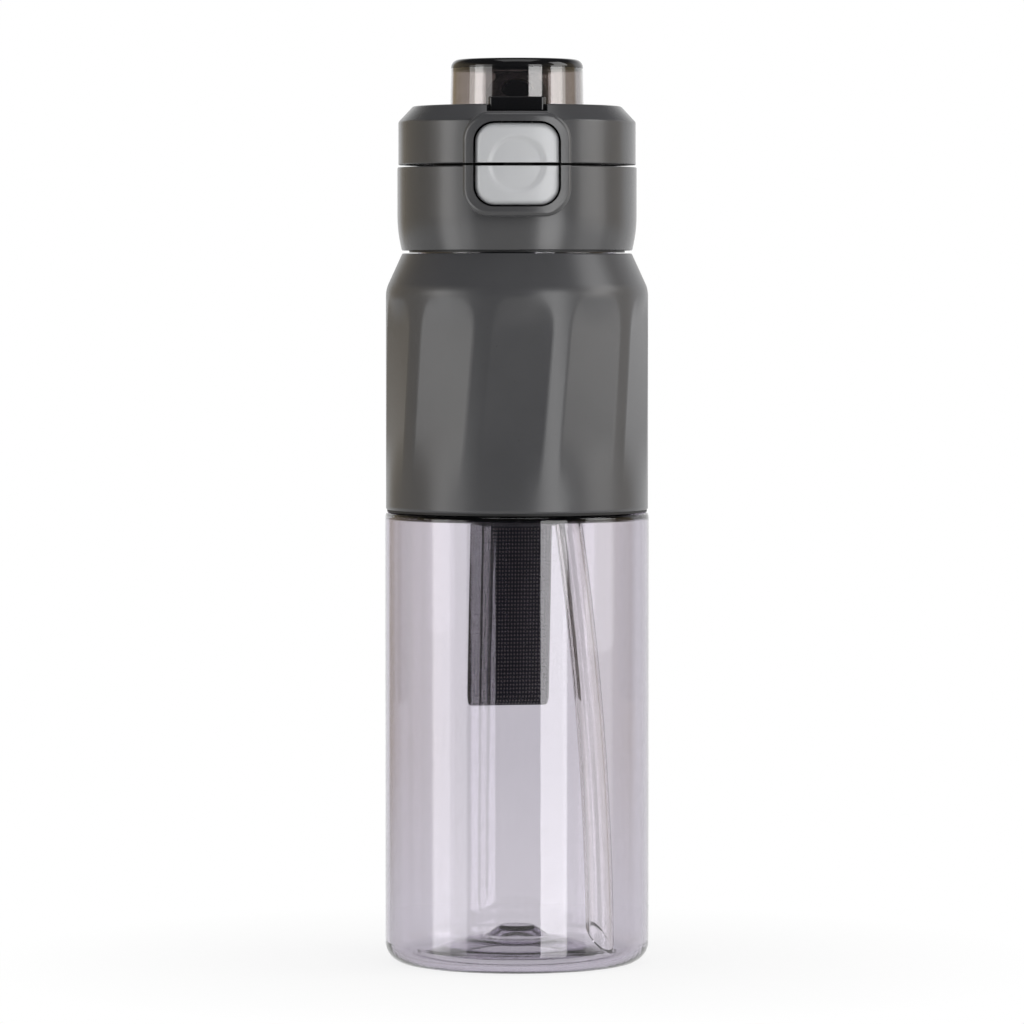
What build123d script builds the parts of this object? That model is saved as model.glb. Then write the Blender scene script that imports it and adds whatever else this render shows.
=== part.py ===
from build123d import *
import math
import os

# A fruit infuser water bottle of about 0.9 litre, in millimetres.
# The origin is on the bottle's axis in the plane that it stands on. +Z is up and -Y is the front,
# where the two lid buttons are.

# Barrel and shoulder of the clear bottle
body_r = 39.0
body_wall = 1.5
body_corner_r = 6.0
shoulder_z = 133.5
shoulder_edge_r = 1.6
seat_step = 2.4
foot_ring_w = 9.2
foot_t = 2.3
foot_edge_w = 1.2
foot_edge_z = 0.6
dome_low_share = 0.74
dome_low_z = 2.7
dome_high_share = 0.48
dome_high_z = 4.9
dome_bend_r = 12.0
bump_foot_share = 0.29
bump_foot_z = 5.7
bump_share = 0.15
bump_h = 2.9

# Upper half of the bottle, its neck and its thread
grip_h = 65.5
knee_w = 3.4
knee_h = 7.3
neck_step = 7.3
neck_wall = 1.8
neck_foot_h = 9.8
neck_h = 18.2
thread_pitch = 4.0
thread_turns = 1.5
thread_depth = 1.3
thread_root_w = 2.2
thread_crest_w = 1.0
thread_lift = 4.2
thread_gap = 0.3

# Grip sleeve and its flutes
sleeve_inset = 0.3
sleeve_gap = 0.15
sleeve_top_inset = 4.7
sleeve_top_h = 10.6
sleeve_knee_r = 9.0
sleeve_rim_r = 0.3
gasket_t = 0.6
gasket_inset = 0.3
flute_count = 10
flute_depth = 1.3
flute_cutter_r = 120.0
flute_top_drop = 0.4
flute_full_drop = 8.5
flute_full_h = 22.5
flute_foot_h = 7.5
flute_slant_deg = 5.5
flute_first_deg = 2.3

# Screw collar
collar_lift = 0.9
collar_wall = 2.6
collar_low_inset = 1.3
collar_bevel_h = 5.8
collar_edge_r = 0.3
collar_wall_gap = 0.2
split_lift = 4.3
split_gap = 0.7

# Inner moulding of the lid
core_wall = 1.6
core_lift = 0.9
core_lip_w = 0.9
core_lip_drop = 0.6
washer_room = 2.0
washer_gap = 0.05
deck_t = 2.0
core_tube_gap = 0.5
core_tube_wall = 1.6
core_tube_h = 23.0
land_inset = 1.6
land_w = 2.0
land_h = 1.2
mouth_rim = 2.3
mouth_back_gap = 0.9
mouth_side_gap = 8.8
vent_r = 1.2

# Drinking straw
straw_r = 4.0
straw_wall = 1.0
straw_tip_inset = 6.3
straw_floor_gap = 1.75
straw_tip_z = 4.7
straw_neck_bend_r = 30.0
straw_top_inset = 4.0
straw_bend_gap = 1.0
straw_side_deg = -39.8
straw_cut_deg = 48.0
bush_wall = 1.1
bush_gap = 0.05
bush_h = 14.0
bush_flange_t = 1.0
socket_wall = 1.4

# Fruit basket
basket_gap = 0.15
basket_wall = 1.2
basket_hold_h = 8.0
basket_lift = 5.5
basket_slot_w = 2.4
basket_slot_bridge = 3.25
basket_slot_rows = 4
basket_slot_columns = 20
base_t = 1.6
base_rim_h = 4.0
boss_r = 12.7
boss_h = 7.9
boss_wall = 1.6
base_hole_r = 1.3
base_hole_count = 11
base_hole_free_deg = 45.0
straw_hole_gap = 1.0

# Flip cap
cap_inset = 0.3
cap_wall = 2.0
cap_side_h = 13.0
cap_bevel_w = 4.3
cap_bevel_h = 4.6
cap_plate_t = 2.6
liner_t = 1.6
liner_lift = 0.35
seal_gap = 0.3

# Button frame and buttons
button_w = 24.4
button_drop = 11.8
button_rise = 11.9
button_corner_r = 5.6
button_gap = 0.5
button_t = 2.4
button_travel = 1.5
frame_side_w = 3.5
frame_low_w = 3.4
frame_high_w = 3.2
frame_corner_w = 2.5
frame_proud = 3.5
frame_edge_r = 1.5
button_inset = 0.6
button_edge_r = 0.7
dish_r = 8.2
dish_depth = 0.35

# Latch arm and spring stem behind the buttons
latch_half_w = 4.0
latch_t = 1.4
latch_reach = 7.0
strike_gap = 0.4
stem_lift = 5.2
stem_h = 5.5
stem_reach = 8.3
stem_spring_l = 6.2

# Hinge of the flip cap
hinge_out = 2.5
hinge_pin_r = 1.25
hinge_knuckle_wall = 1.25
hinge_half_w = 11.0
hinge_cap_half_w = 5.0
hinge_gap = 0.3
pin_clearance = 0.05

# Strap and its bar
strap_w = 25.0
strap_t = 1.3
strap_drop = 148.5
strap_bar_r = 2.2
strap_bar_out = 4.4
strap_bar_drop = 13.3
strap_loop_gap = 0.3
strap_lean_deg = 1.1
lug_w = 3.0
lug_gap = 1.3
lug_rim = 1.4

# Spout
spout_pivot_y = 1.0
spout_drum_r = 4.7
spout_drum_w = 12.6
spout_w = 17.9
spout_front_gap = 4.7
spout_arch_h = 7.5
spout_crown_h = 0.1
spout_wall = 1.9
spout_bore_w = 9.4
cheek_t = 1.3
cradle_gap = 0.3
cradle_rim = 0.2
trunnion_r = 1.0
port_wall = 1.6

# Dust cover
cover_low_r = 19.7
cover_taper = 0.3
cover_head_gap = 1.4
cover_wall = 1.3
cover_plate_t = 2.6
cover_corner_r = 2.3
cover_lift = 0.15
cover_hinge_out = 2.9
cover_hinge_h = 2.1
cover_knuckle_wall = 0.9
cover_pin_r = 0.8
cover_arm_w = 19.8
cover_ear_half_w = 5.2
tab_w = 16.6
tab_corner_r = 1.3
tab_setback = 1.7
tab_sink = 1.7
tab_rise = 2.1

# Springs
button_spring_r = 2.6
button_wire_r = 0.25
lower_spring_turns = 2.25
upper_spring_turns = 5.0
cap_wire_r = 0.3
cap_spring_gap = 0.15
cap_spring_turns = 4.0
cover_wire_r = 0.22
cover_spring_gap = 0.1
cover_spring_turns = 5.0

# One overrun serves every cut that runs past a face
overrun = 1.0

# Heights that follow from the sizes above, from the foot up
bump_z = bump_foot_z + bump_h
hem_z = shoulder_z + gasket_t
shoulder_top_z = shoulder_z + grip_h
shoulder_knee_z = shoulder_top_z + knee_h
neck_foot_z = shoulder_top_z + neck_foot_h
neck_top_z = neck_foot_z + neck_h
sleeve_top_z = shoulder_top_z + sleeve_top_h
flute_top_z = shoulder_top_z - flute_top_drop
flute_full_top_z = shoulder_top_z - flute_full_drop
flute_full_low_z = flute_full_top_z - flute_full_h
flute_low_z = shoulder_z + flute_foot_h
thread_start_z = neck_foot_z + thread_lift
thread_rise = thread_pitch * thread_turns
collar_low_z = sleeve_top_z + collar_lift
collar_bevel_z = collar_low_z + collar_bevel_h
core_low_z = collar_low_z + core_lift
core_lip_z = collar_low_z - core_lip_drop
deck_low_z = neck_top_z + washer_room
deck_z = deck_low_z + deck_t
core_tube_low_z = deck_z - core_tube_h
split_z = deck_z + split_lift
collar_top_z = split_z - split_gap / 2
cap_low_z = split_z + split_gap / 2
cap_bevel_z = split_z + cap_side_h
cap_top_z = cap_bevel_z + cap_bevel_h
cap_plate_low_z = cap_top_z - cap_plate_t
liner_z = cap_low_z + liner_lift
liner_top_z = liner_z + liner_t
basket_top_z = core_tube_low_z + basket_hold_h
basket_low_z = shoulder_z + basket_lift
basket_slot_pitch = (core_tube_low_z - basket_low_z - base_rim_h) / basket_slot_rows
basket_slot_h = basket_slot_pitch - basket_slot_bridge
bush_low_z = deck_z - bush_h
bush_top_z = deck_z + land_h + bush_flange_t
straw_top_z = deck_z - straw_top_inset
straw_upright_z = bush_low_z - straw_bend_gap
button_low_z = split_z - button_drop
button_high_z = split_z + button_rise
button_mid_z = (button_low_z + button_high_z) / 2
frame_low_z = button_low_z - frame_low_w
frame_high_z = button_high_z + frame_high_w
frame_mid_z = (frame_low_z + frame_high_z) / 2
lower_top_z = split_z - button_gap / 2
upper_low_z = split_z + button_gap / 2
latch_arm_z = deck_z + hinge_gap
stem_low_z = split_z + stem_lift
stem_high_z = stem_low_z + stem_h
hinge_z = split_z
strap_bar_z = split_z - strap_bar_drop
strap_low_z = strap_bar_z - strap_drop
spout_pivot_z = cap_top_z + spout_drum_r + cradle_gap
spout_top_z = spout_pivot_z + spout_drum_r + spout_crown_h
cover_low_z = cap_top_z + cover_lift
cover_top_z = spout_top_z + cover_head_gap + cover_plate_t
cover_hinge_z = cap_top_z + cover_hinge_h
tab_low_z = cap_top_z - tab_sink
tab_high_z = cap_top_z + tab_rise

# Radii and widths that follow, from the barrel inwards and then outwards again
foot_in_r = body_r - foot_ring_w
dome_low_r = foot_in_r * dome_low_share
dome_high_r = foot_in_r * dome_high_share
bump_foot_r = foot_in_r * bump_foot_share
bump_r = foot_in_r * bump_share
body_in_r = body_r - body_wall
seat_r = body_r - seat_step
shoulder_knee_r = seat_r - knee_w
neck_r = seat_r - neck_step
neck_in_r = neck_r - neck_wall
sleeve_r = body_r - sleeve_inset
sleeve_in_r = seat_r + sleeve_gap
sleeve_top_r = sleeve_r - sleeve_top_inset
thread_crest_r = neck_r + thread_depth
core_in_r = thread_crest_r + thread_gap
core_r = core_in_r + core_wall
core_tube_r = neck_in_r - core_tube_gap
core_tube_in_r = core_tube_r - core_tube_wall
basket_r = core_tube_in_r - basket_gap
basket_in_r = basket_r - basket_wall
base_hole_ring_r = (boss_r + basket_in_r) / 2
bush_r = straw_r + bush_gap + bush_wall
socket_r = bush_r + bush_gap + socket_wall
land_r = core_tube_in_r - land_inset
land_in_r = land_r - land_w / 2
mouth_h = land_in_r - mouth_rim - socket_r - mouth_back_gap
mouth_y = -(socket_r + mouth_back_gap + mouth_h / 2)
mouth_w = 2 * (land_in_r - mouth_side_gap)
collar_in_r = core_r + collar_wall_gap
collar_r = collar_in_r + collar_wall
collar_low_r = collar_r - collar_low_inset
cap_r = collar_r - cap_inset
cap_top_r = cap_r - cap_bevel_w
liner_r = cap_r - cap_wall - collar_wall_gap
frame_r = collar_r + frame_proud
frame_w = button_w + 2 * frame_side_w
frame_corner_r = button_corner_r + frame_corner_w
button_face_r = frame_r - button_inset
button_back_r = button_face_r - button_t
latch_back_y = latch_reach - button_back_r
stem_back_y = stem_reach - button_back_r
spring_post_y = stem_back_y + stem_spring_l
strike_front_y = latch_back_y - latch_t - 2 * strike_gap
hinge_y = collar_r + hinge_out
hinge_knuckle_r = hinge_pin_r + hinge_knuckle_wall
strap_bar_y = body_r + strap_bar_out
port_bore_r = straw_r - straw_wall
port_r = port_bore_r + port_wall
spout_front_y = spout_front_gap - cover_low_r
spout_bore_h = 2 * (spout_drum_r - spout_wall)
cradle_w = spout_drum_w + 2 * (cradle_gap + cheek_t)
cover_top_r = cover_low_r - cover_taper
cover_knuckle_r = cover_pin_r + cover_knuckle_wall
cover_hinge_y = cover_low_r + cover_hinge_out
tab_front_y = tab_setback - cap_top_r

# The straw's long bend: upright at its foot and, past a short counter-bend, in its socket. Its tip
# goes as far out as the barrel's wall and the edge of the basket's floor let it.
straw_floor_u = basket_in_r - straw_r - straw_floor_gap
straw_floor_share = 1 - (basket_low_z / straw_upright_z) ** 2
straw_tip_u = min(body_in_r - straw_tip_inset, straw_floor_u / straw_floor_share)
straw_bend_r = (straw_tip_u ** 2 + straw_upright_z ** 2) / (2 * straw_tip_u) - straw_neck_bend_r

os.makedirs("parts", exist_ok=True)


def polar(radius, degrees_round):
    """Return the X and Y of a point at this radius and angle."""
    angle = math.radians(degrees_round)
    return radius * math.cos(angle), radius * math.sin(angle)


def screw_ridge(base_r, crest_r, start_z):
    """Sweep one trapezoid thread ridge from a base radius to a crest radius."""
    root, crest = thread_root_w / 2, thread_crest_w / 2
    depth = crest_r - base_r
    with BuildPart() as ridge:
        with BuildLine() as path:
            Helix(pitch=thread_pitch, height=thread_rise, radius=base_r, center=(0, 0, start_z))
        tangent = path.line % 0
        with BuildSketch(Plane(origin=path.line @ 0, x_dir=(1, 0, 0), z_dir=tangent)):
            with BuildLine():
                Polyline((0, -root), (depth, -crest), (depth, crest), (0, root), close=True)
            make_face()
        sweep(path=path.line, is_frenet=True)
    return ridge.part


def coil(mean_r, wire_r, turns, length, plane):
    """Wind an unbroken coil spring of this length along a plane's normal."""
    pitch = (length - 2 * wire_r) / turns
    with BuildPart() as spring:
        with BuildLine() as path:
            Helix(pitch=pitch, height=pitch * turns, radius=mean_r, center=(0, 0, wire_r))
        with BuildSketch(Plane(origin=path.line @ 0, z_dir=path.line % 0)):
            Circle(wire_r)
        sweep(path=path.line, is_frenet=True)
    rise = pitch * math.cos(math.atan(pitch / (2 * math.pi * mean_r)))
    print("coil gap to itself, mm:", round(rise - 2 * wire_r, 3))
    return plane.location * spring.part


def button_outline(grow):
    """Draw the buttons' common outline on the front plane, grown by a margin."""
    with BuildSketch(Plane.XZ) as outline:
        with Locations((0, button_mid_z)):
            RectangleRounded(
                button_w + 2 * grow, button_high_z - button_low_z + 2 * grow, button_corner_r + grow
            )
    return outline.sketch


def button_frame():
    """Make the whole raised frame round the two buttons, before the lid's split divides it."""
    with BuildPart() as frame:
        with BuildSketch(Plane.XZ):
            with Locations((0, frame_mid_z)):
                RectangleRounded(frame_w, frame_high_z - frame_low_z, frame_corner_r)
        extrude(amount=body_r)
        Cylinder(frame_r, 2 * cap_top_z, mode=Mode.INTERSECT)
        fillet(frame.faces().filter_by(GeomType.CYLINDER).sort_by(Axis.Y)[0].edges(), frame_edge_r)
        Cylinder(collar_r - cap_wall, 2 * cap_top_z, mode=Mode.SUBTRACT)
    return frame.part


def knuckle(radius, bore_r, x_low, x_high, y, z, arm_low_z, arm_high_z, arm_y):
    """Make one hinge knuckle round an axis along X, with the arm that carries it."""
    with BuildPart() as made:
        with BuildSketch(Plane.YZ.offset(x_low)):
            with Locations((y, z)):
                Circle(radius)
            with BuildLine():
                Polyline((arm_y, arm_low_z), (y, arm_low_z), (y, arm_high_z), (arm_y, arm_high_z), close=True)
            make_face()
            with Locations((y, z)):
                Circle(bore_r, mode=Mode.SUBTRACT)
        extrude(amount=x_high - x_low)
    return made.part


# Clear bottle: blow moulded, its foot domed upwards with a bump in the middle
with BuildPart() as bottle_body:
    with BuildSketch(Plane.XZ):
        with BuildLine():
            outer = FilletPolyline(
                (0, bump_z),
                (bump_r, bump_z),
                (bump_foot_r, bump_foot_z),
                (dome_high_r, dome_high_z),
                (dome_low_r, dome_low_z),
                (foot_in_r - foot_edge_w, foot_edge_z),
                (foot_in_r, 0),
                (body_r, 0),
                (body_r, shoulder_z),
                (seat_r, shoulder_z),
                (seat_r, shoulder_top_z),
                (shoulder_knee_r, shoulder_knee_z),
                (neck_r, neck_foot_z),
                (neck_r, neck_top_z),
                radius=[body_wall, body_wall, dome_bend_r, dome_bend_r, body_wall, foot_edge_z, body_corner_r,
                        shoulder_edge_r, body_wall / 5, body_corner_r, body_wall, body_wall],
            )
            inner = FilletPolyline(
                (0, bump_z + foot_t),
                (bump_r + foot_t / 4, bump_z + foot_t),
                (bump_foot_r + foot_t / 4, bump_foot_z + foot_t),
                (dome_high_r, dome_high_z + foot_t),
                (dome_low_r, dome_low_z + foot_t),
                (foot_in_r - foot_edge_w, foot_edge_z + body_wall),
                (body_in_r, body_wall),
                (body_in_r, shoulder_z - body_wall),
                (seat_r - body_wall, shoulder_z - body_wall),
                (seat_r - body_wall, shoulder_top_z - body_wall / 2),
                (shoulder_knee_r - body_wall, shoulder_knee_z - body_wall),
                (neck_in_r, neck_foot_z - body_wall),
                (neck_in_r, neck_top_z),
                radius=[body_wall, body_wall, dome_bend_r, dome_bend_r, body_corner_r,
                        body_corner_r - body_wall, body_wall / 2, body_wall / 2, body_corner_r, body_wall,
                        body_wall],
            )
            Line(outer @ 0, inner @ 0)
            Line(outer @ 1, inner @ 1)
        make_face()
    revolve(axis=Axis.Z)
    add(screw_ridge(neck_r - thread_gap, thread_crest_r, thread_start_z))
bottle_body.part.label = "bottle_body"

# Silicone ring that the sleeve's hem presses onto the barrel's shoulder
with BuildPart() as hem_gasket:
    with BuildSketch(Plane.XY.offset(shoulder_z)):
        Circle(sleeve_r - gasket_inset)
        Circle(sleeve_in_r + gasket_inset, mode=Mode.SUBTRACT)
    extrude(amount=gasket_t)
hem_gasket.part.label = "hem_gasket"

# Spindle that cuts one flute: full in the middle, fading out towards both ends
cutter_end_r = flute_cutter_r - flute_depth - sleeve_rim_r
with BuildPart() as flute_cutter:
    with BuildSketch(Plane.XZ):
        with BuildLine():
            FilletPolyline(
                (0, flute_low_z),
                (cutter_end_r, flute_low_z),
                (flute_cutter_r, flute_full_low_z),
                (flute_cutter_r, flute_full_top_z),
                (cutter_end_r, flute_top_z),
                (0, flute_top_z),
                radius=[0, 0, flute_cutter_r, body_r, 0, 0],
                close=True,
            )
        make_face()
    revolve(axis=Axis.Z)

# Grip sleeve: a moulded skin over the bottle's upper half, fluted round its outside
with BuildPart() as grip_sleeve:
    with BuildSketch(Plane.XZ):
        with BuildLine():
            FilletPolyline(
                (sleeve_in_r, hem_z),
                (sleeve_r, hem_z),
                (sleeve_r, shoulder_top_z),
                (sleeve_top_r, sleeve_top_z),
                (sleeve_top_r - body_wall, sleeve_top_z),
                (shoulder_knee_r + sleeve_gap, shoulder_knee_z),
                (sleeve_in_r, shoulder_top_z),
                radius=[0, sleeve_gap, sleeve_knee_r, sleeve_rim_r, 0, body_wall / 2, 0],
                close=True,
            )
        make_face()
    revolve(axis=Axis.Z)
    cutter_axis_r = sleeve_r + flute_cutter_r - flute_depth
    middle_z = (flute_full_low_z + flute_full_top_z) / 2
    for place in range(flute_count):
        turn = flute_first_deg + place * 360 / flute_count
        flute = Pos(0, 0, middle_z) * Rot(0, flute_slant_deg, 0) * Pos(0, -cutter_axis_r, -middle_z)
        add(Rot(0, 0, turn) * flute * flute_cutter.part, mode=Mode.SUBTRACT)
grip_sleeve.part.label = "grip_sleeve"

# Washer between the neck's rim and the lid
with BuildPart() as lid_gasket:
    with BuildSketch(Plane.XY.offset(neck_top_z + washer_gap)):
        Circle(core_in_r - washer_gap)
        Circle(core_tube_r + washer_gap, mode=Mode.SUBTRACT)
    extrude(amount=deck_low_z - neck_top_z - 2 * washer_gap)
lid_gasket.part.label = "lid_gasket"

# Inner moulding of the lid: a threaded skirt with a ledge that the mouth plate lies on. Its thin lip
# closes the gap between the collar and the sleeve from inside.
with BuildPart() as lid_core:
    with BuildSketch(Plane.XY.offset(core_lip_z)):
        Circle(core_in_r + core_lip_w)
        Circle(core_in_r, mode=Mode.SUBTRACT)
    extrude(amount=core_low_z - core_lip_z)
    with BuildSketch(Plane.XY.offset(core_low_z)):
        Circle(core_r)
        Circle(core_in_r, mode=Mode.SUBTRACT)
    extrude(amount=deck_z - core_low_z)
    with BuildSketch(Plane.XY.offset(deck_low_z)):
        Circle(core_r)
        Circle(core_tube_r, mode=Mode.SUBTRACT)
    extrude(amount=deck_t)
    add(screw_ridge(core_in_r + thread_gap, neck_r + thread_gap, thread_start_z + thread_pitch / 2))
lid_core.part.label = "lid_core"

# Tube under the mouth plate, which holds the basket and plugs the neck
with BuildPart() as basket_tube:
    with BuildSketch(Plane.XY.offset(core_tube_low_z)):
        Circle(core_tube_r)
        Circle(core_tube_in_r, mode=Mode.SUBTRACT)
    extrude(amount=deck_low_z - core_tube_low_z)
basket_tube.part.label = "basket_tube"

# Mouth plate: the lid's deck, with the drinking mouth, the seal's land and the straw's socket
with BuildPart() as mouth_plate:
    with BuildSketch(Plane.XY.offset(deck_low_z)):
        Circle(core_tube_r - washer_gap)
    extrude(amount=deck_t)
    with BuildSketch(Plane.XY.offset(deck_z)):
        Circle(land_r + land_w / 2)
        Circle(land_r - land_w / 2, mode=Mode.SUBTRACT)
        Circle(socket_r)
    extrude(amount=land_h)
    with BuildSketch(Plane.XY.offset(bush_low_z)):
        Circle(socket_r)
    extrude(amount=deck_z - bush_low_z)
    with BuildSketch(Plane.XY.offset(bush_low_z - overrun)):
        Circle(bush_r + bush_gap)
        with Locations((0, mouth_y)):
            SlotOverall(mouth_w, mouth_h)
        with Locations((0, -mouth_y)):
            Circle(vent_r)
    extrude(amount=deck_z + land_h - bush_low_z + 2 * overrun, mode=Mode.SUBTRACT)
mouth_plate.part.label = "mouth_plate"

# Collar shell: grey cover of the screw collar, with the lower half of the button frame
lug_in_x = strap_w / 2 + lug_gap
lug_out_x = lug_in_x + lug_w
with BuildPart() as collar_shell:
    with BuildSketch(Plane.XZ):
        with BuildLine():
            FilletPolyline(
                (collar_in_r, collar_low_z),
                (collar_low_r, collar_low_z),
                (collar_r, collar_bevel_z),
                (collar_r, collar_top_z),
                (collar_in_r, collar_top_z),
                radius=[0, collar_edge_r, body_r, collar_edge_r, 0],
                close=True,
            )
        make_face()
    revolve(axis=Axis.Z)
    add(button_frame())
    split(bisect_by=Plane.XY.offset(collar_top_z), keep=Keep.BOTTOM)
    for side in (-1, 1):
        near, far = hinge_cap_half_w + hinge_gap, hinge_half_w
        low_x, high_x = min(side * near, side * far), max(side * near, side * far)
        add(knuckle(hinge_knuckle_r, hinge_pin_r + pin_clearance, low_x, high_x, hinge_y, hinge_z,
                    hinge_z - hinge_knuckle_r, collar_top_z - hinge_gap, collar_in_r - hinge_knuckle_r))
        low_x = min(side * lug_in_x, side * lug_out_x)
        lug_r = strap_bar_r + lug_rim
        add(knuckle(lug_r, strap_bar_r + pin_clearance, low_x, low_x + lug_w, strap_bar_y, strap_bar_z,
                    strap_bar_z - lug_r, strap_bar_z + lug_r, collar_in_r - 2 * hinge_knuckle_r))
    Cylinder(collar_in_r, 2 * cap_top_z, mode=Mode.SUBTRACT)
    extrude(button_outline(button_gap), amount=body_r, mode=Mode.SUBTRACT)
collar_shell.part.label = "collar_shell"

# Straw: one long gentle bend outwards, and a short one where it enters its socket
straw_arc_u = straw_tip_u - straw_bend_r
straw_turn = math.acos((straw_bend_r + straw_neck_bend_r - straw_tip_u) / (straw_bend_r + straw_neck_bend_r))
straw_join = (straw_arc_u + straw_bend_r * math.cos(straw_turn), straw_bend_r * math.sin(straw_turn))
straw_upright_z = (straw_bend_r + straw_neck_bend_r) * math.sin(straw_turn)
straw_low_turn = math.asin((straw_tip_z - 2 * straw_r) / straw_bend_r)
straw_low = (straw_arc_u + straw_bend_r * math.cos(straw_low_turn), straw_bend_r * math.sin(straw_low_turn))
straw_plane = Plane.XZ.rotated((0, 0, straw_side_deg))


def straw_rod(radius):
    """Sweep a rod of this radius along the straw's own line."""
    with BuildPart() as rod:
        with BuildLine(straw_plane) as path:
            Line((0, straw_top_z), (0, straw_upright_z))
            RadiusArc((0, straw_upright_z), straw_join, -straw_neck_bend_r)
            RadiusArc(straw_join, straw_low, straw_bend_r)
        with BuildSketch(Plane.XY.offset(straw_top_z)):
            Circle(radius)
        sweep(path=path.wires()[0])
    return rod.part


with BuildPart() as straw:
    add(straw_rod(straw_r))
    add(straw_rod(straw_r - straw_wall), mode=Mode.SUBTRACT)
    tip = straw_plane.from_local_coords(Vector(straw_tip_u + straw_r, straw_tip_z, 0))
    slant = math.radians(straw_cut_deg)
    cut_normal = straw_plane.from_local_coords(Vector(math.sin(slant), math.cos(slant), 0))
    split(bisect_by=Plane(origin=tip, x_dir=straw_plane.z_dir, z_dir=cut_normal), keep=Keep.TOP)
straw.part.label = "straw"

with BuildPart() as straw_bush:
    with BuildSketch(Plane.XY.offset(bush_low_z)):
        Circle(bush_r)
    extrude(amount=deck_z + land_h - bush_low_z)
    with BuildSketch(Plane.XY.offset(deck_z + land_h)):
        Circle(socket_r)
    extrude(amount=bush_flange_t)
    with BuildSketch(Plane.XY.offset(bush_low_z - overrun)):
        Circle(straw_r + bush_gap)
    extrude(amount=straw_top_z - bush_low_z + overrun + bush_gap, mode=Mode.SUBTRACT)
    with BuildSketch(Plane.XY.offset(bush_low_z)):
        Circle(port_bore_r)
    extrude(amount=bush_top_z - bush_low_z + overrun, mode=Mode.SUBTRACT)
straw_bush.part.label = "straw_bush"

# Basket: a slotted tube held in the lid's inner tube
with BuildPart() as infuser_basket:
    with BuildSketch(Plane.XY.offset(basket_low_z)):
        Circle(basket_r)
        Circle(basket_in_r, mode=Mode.SUBTRACT)
    extrude(amount=basket_top_z - basket_low_z)
    slots_mid_z = (basket_low_z + base_rim_h + core_tube_low_z) / 2
    for column in range(basket_slot_columns // 2):
        slot_plane = Plane.XZ.rotated((0, 0, column * 360 / basket_slot_columns))
        with BuildSketch(slot_plane):
            with Locations((0, slots_mid_z)):
                with GridLocations(0, basket_slot_pitch, 1, basket_slot_rows):
                    SlotOverall(basket_slot_h, basket_slot_w, rotation=90)
        extrude(amount=basket_r + overrun, both=True, mode=Mode.SUBTRACT)
infuser_basket.part.label = "infuser_basket"

# Floor of the basket, screwed on, with the boss that a hand turns it by
hole_turn = math.asin(basket_low_z / straw_bend_r)
straw_hole_u = straw_arc_u + straw_bend_r * math.cos(hole_turn)
with BuildPart() as infuser_base:
    with BuildSketch(Plane.XY.offset(basket_low_z - base_t)):
        Circle(basket_r)
    extrude(amount=base_t)
    with BuildSketch(Plane.XY.offset(basket_low_z)):
        Circle(basket_in_r - basket_gap)
    extrude(amount=base_rim_h)
    with BuildSketch(Plane.XY.offset(basket_low_z)):
        Circle(basket_in_r - basket_gap - basket_wall)
    extrude(amount=base_rim_h, mode=Mode.SUBTRACT)
    with BuildSketch(Plane.XY.offset(basket_low_z - base_t - boss_h)):
        Circle(boss_r)
    extrude(amount=boss_h)
    with BuildSketch(Plane.XY.offset(basket_low_z - base_t)):
        Circle(boss_r - boss_wall)
    extrude(amount=boss_wall - boss_h, mode=Mode.SUBTRACT)
    with BuildSketch(Plane.XY.offset(basket_low_z - base_t - overrun)):
        with PolarLocations(base_hole_ring_r, base_hole_count,
                            start_angle=straw_side_deg + base_hole_free_deg,
                            angular_range=360 - 2 * base_hole_free_deg, endpoint=True):
            Circle(base_hole_r)
        with Locations(polar(straw_hole_u, straw_side_deg)):
            Circle(straw_r + straw_hole_gap)
    extrude(amount=base_t + base_rim_h + 2 * overrun, mode=Mode.SUBTRACT)
infuser_base.part.label = "infuser_base"

# Pin and spring of the flip cap's hinge
with BuildPart() as hinge_pin:
    with BuildSketch(Plane.YZ.offset(-hinge_half_w)):
        with Locations((hinge_y, hinge_z)):
            Circle(hinge_pin_r)
    extrude(amount=2 * hinge_half_w)
hinge_pin.part.label = "hinge_pin"

cap_spring_r = hinge_pin_r + cap_wire_r + cap_spring_gap
cap_spring_half_w = hinge_cap_half_w / 2 + hinge_gap / 2
with BuildPart() as cap_spring:
    add(coil(cap_spring_r, cap_wire_r, cap_spring_turns, 2 * cap_spring_half_w - hinge_gap,
             Plane(origin=(hinge_gap / 2 - cap_spring_half_w, hinge_y, hinge_z), z_dir=(1, 0, 0))))
cap_spring.part.label = "cap_spring"

# Bar of the carry strap
with BuildPart() as strap_bar:
    with BuildSketch(Plane.YZ.offset(-lug_out_x)):
        with Locations((strap_bar_y, strap_bar_z)):
            Circle(strap_bar_r)
    extrude(amount=2 * lug_out_x)
strap_bar.part.label = "strap_bar"

# Strap: a flat loop of webbing over the bar, leaning a little to one side as it hangs
strap_half_gap = strap_bar_r + strap_loop_gap
strap_half_t = strap_half_gap + strap_t
strap_high_z = strap_bar_z
strap_end_z = strap_low_z + strap_half_t
strap_leg_h = strap_high_z - strap_end_z
with BuildPart() as carry_strap:
    with BuildSketch(Plane.YZ.offset(-strap_w / 2)):
        with Locations((strap_bar_y, (strap_high_z + strap_end_z) / 2)):
            SlotCenterToCenter(strap_leg_h, 2 * strap_half_t, rotation=90)
            SlotCenterToCenter(strap_leg_h, 2 * strap_half_gap, rotation=90, mode=Mode.SUBTRACT)
    extrude(amount=strap_w)
lean = Pos(0, 0, strap_bar_z) * Rot(0, strap_lean_deg, 0) * Pos(0, 0, -strap_bar_z)
carry_strap.part = lean * carry_strap.part
carry_strap.part.label = "carry_strap"


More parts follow.
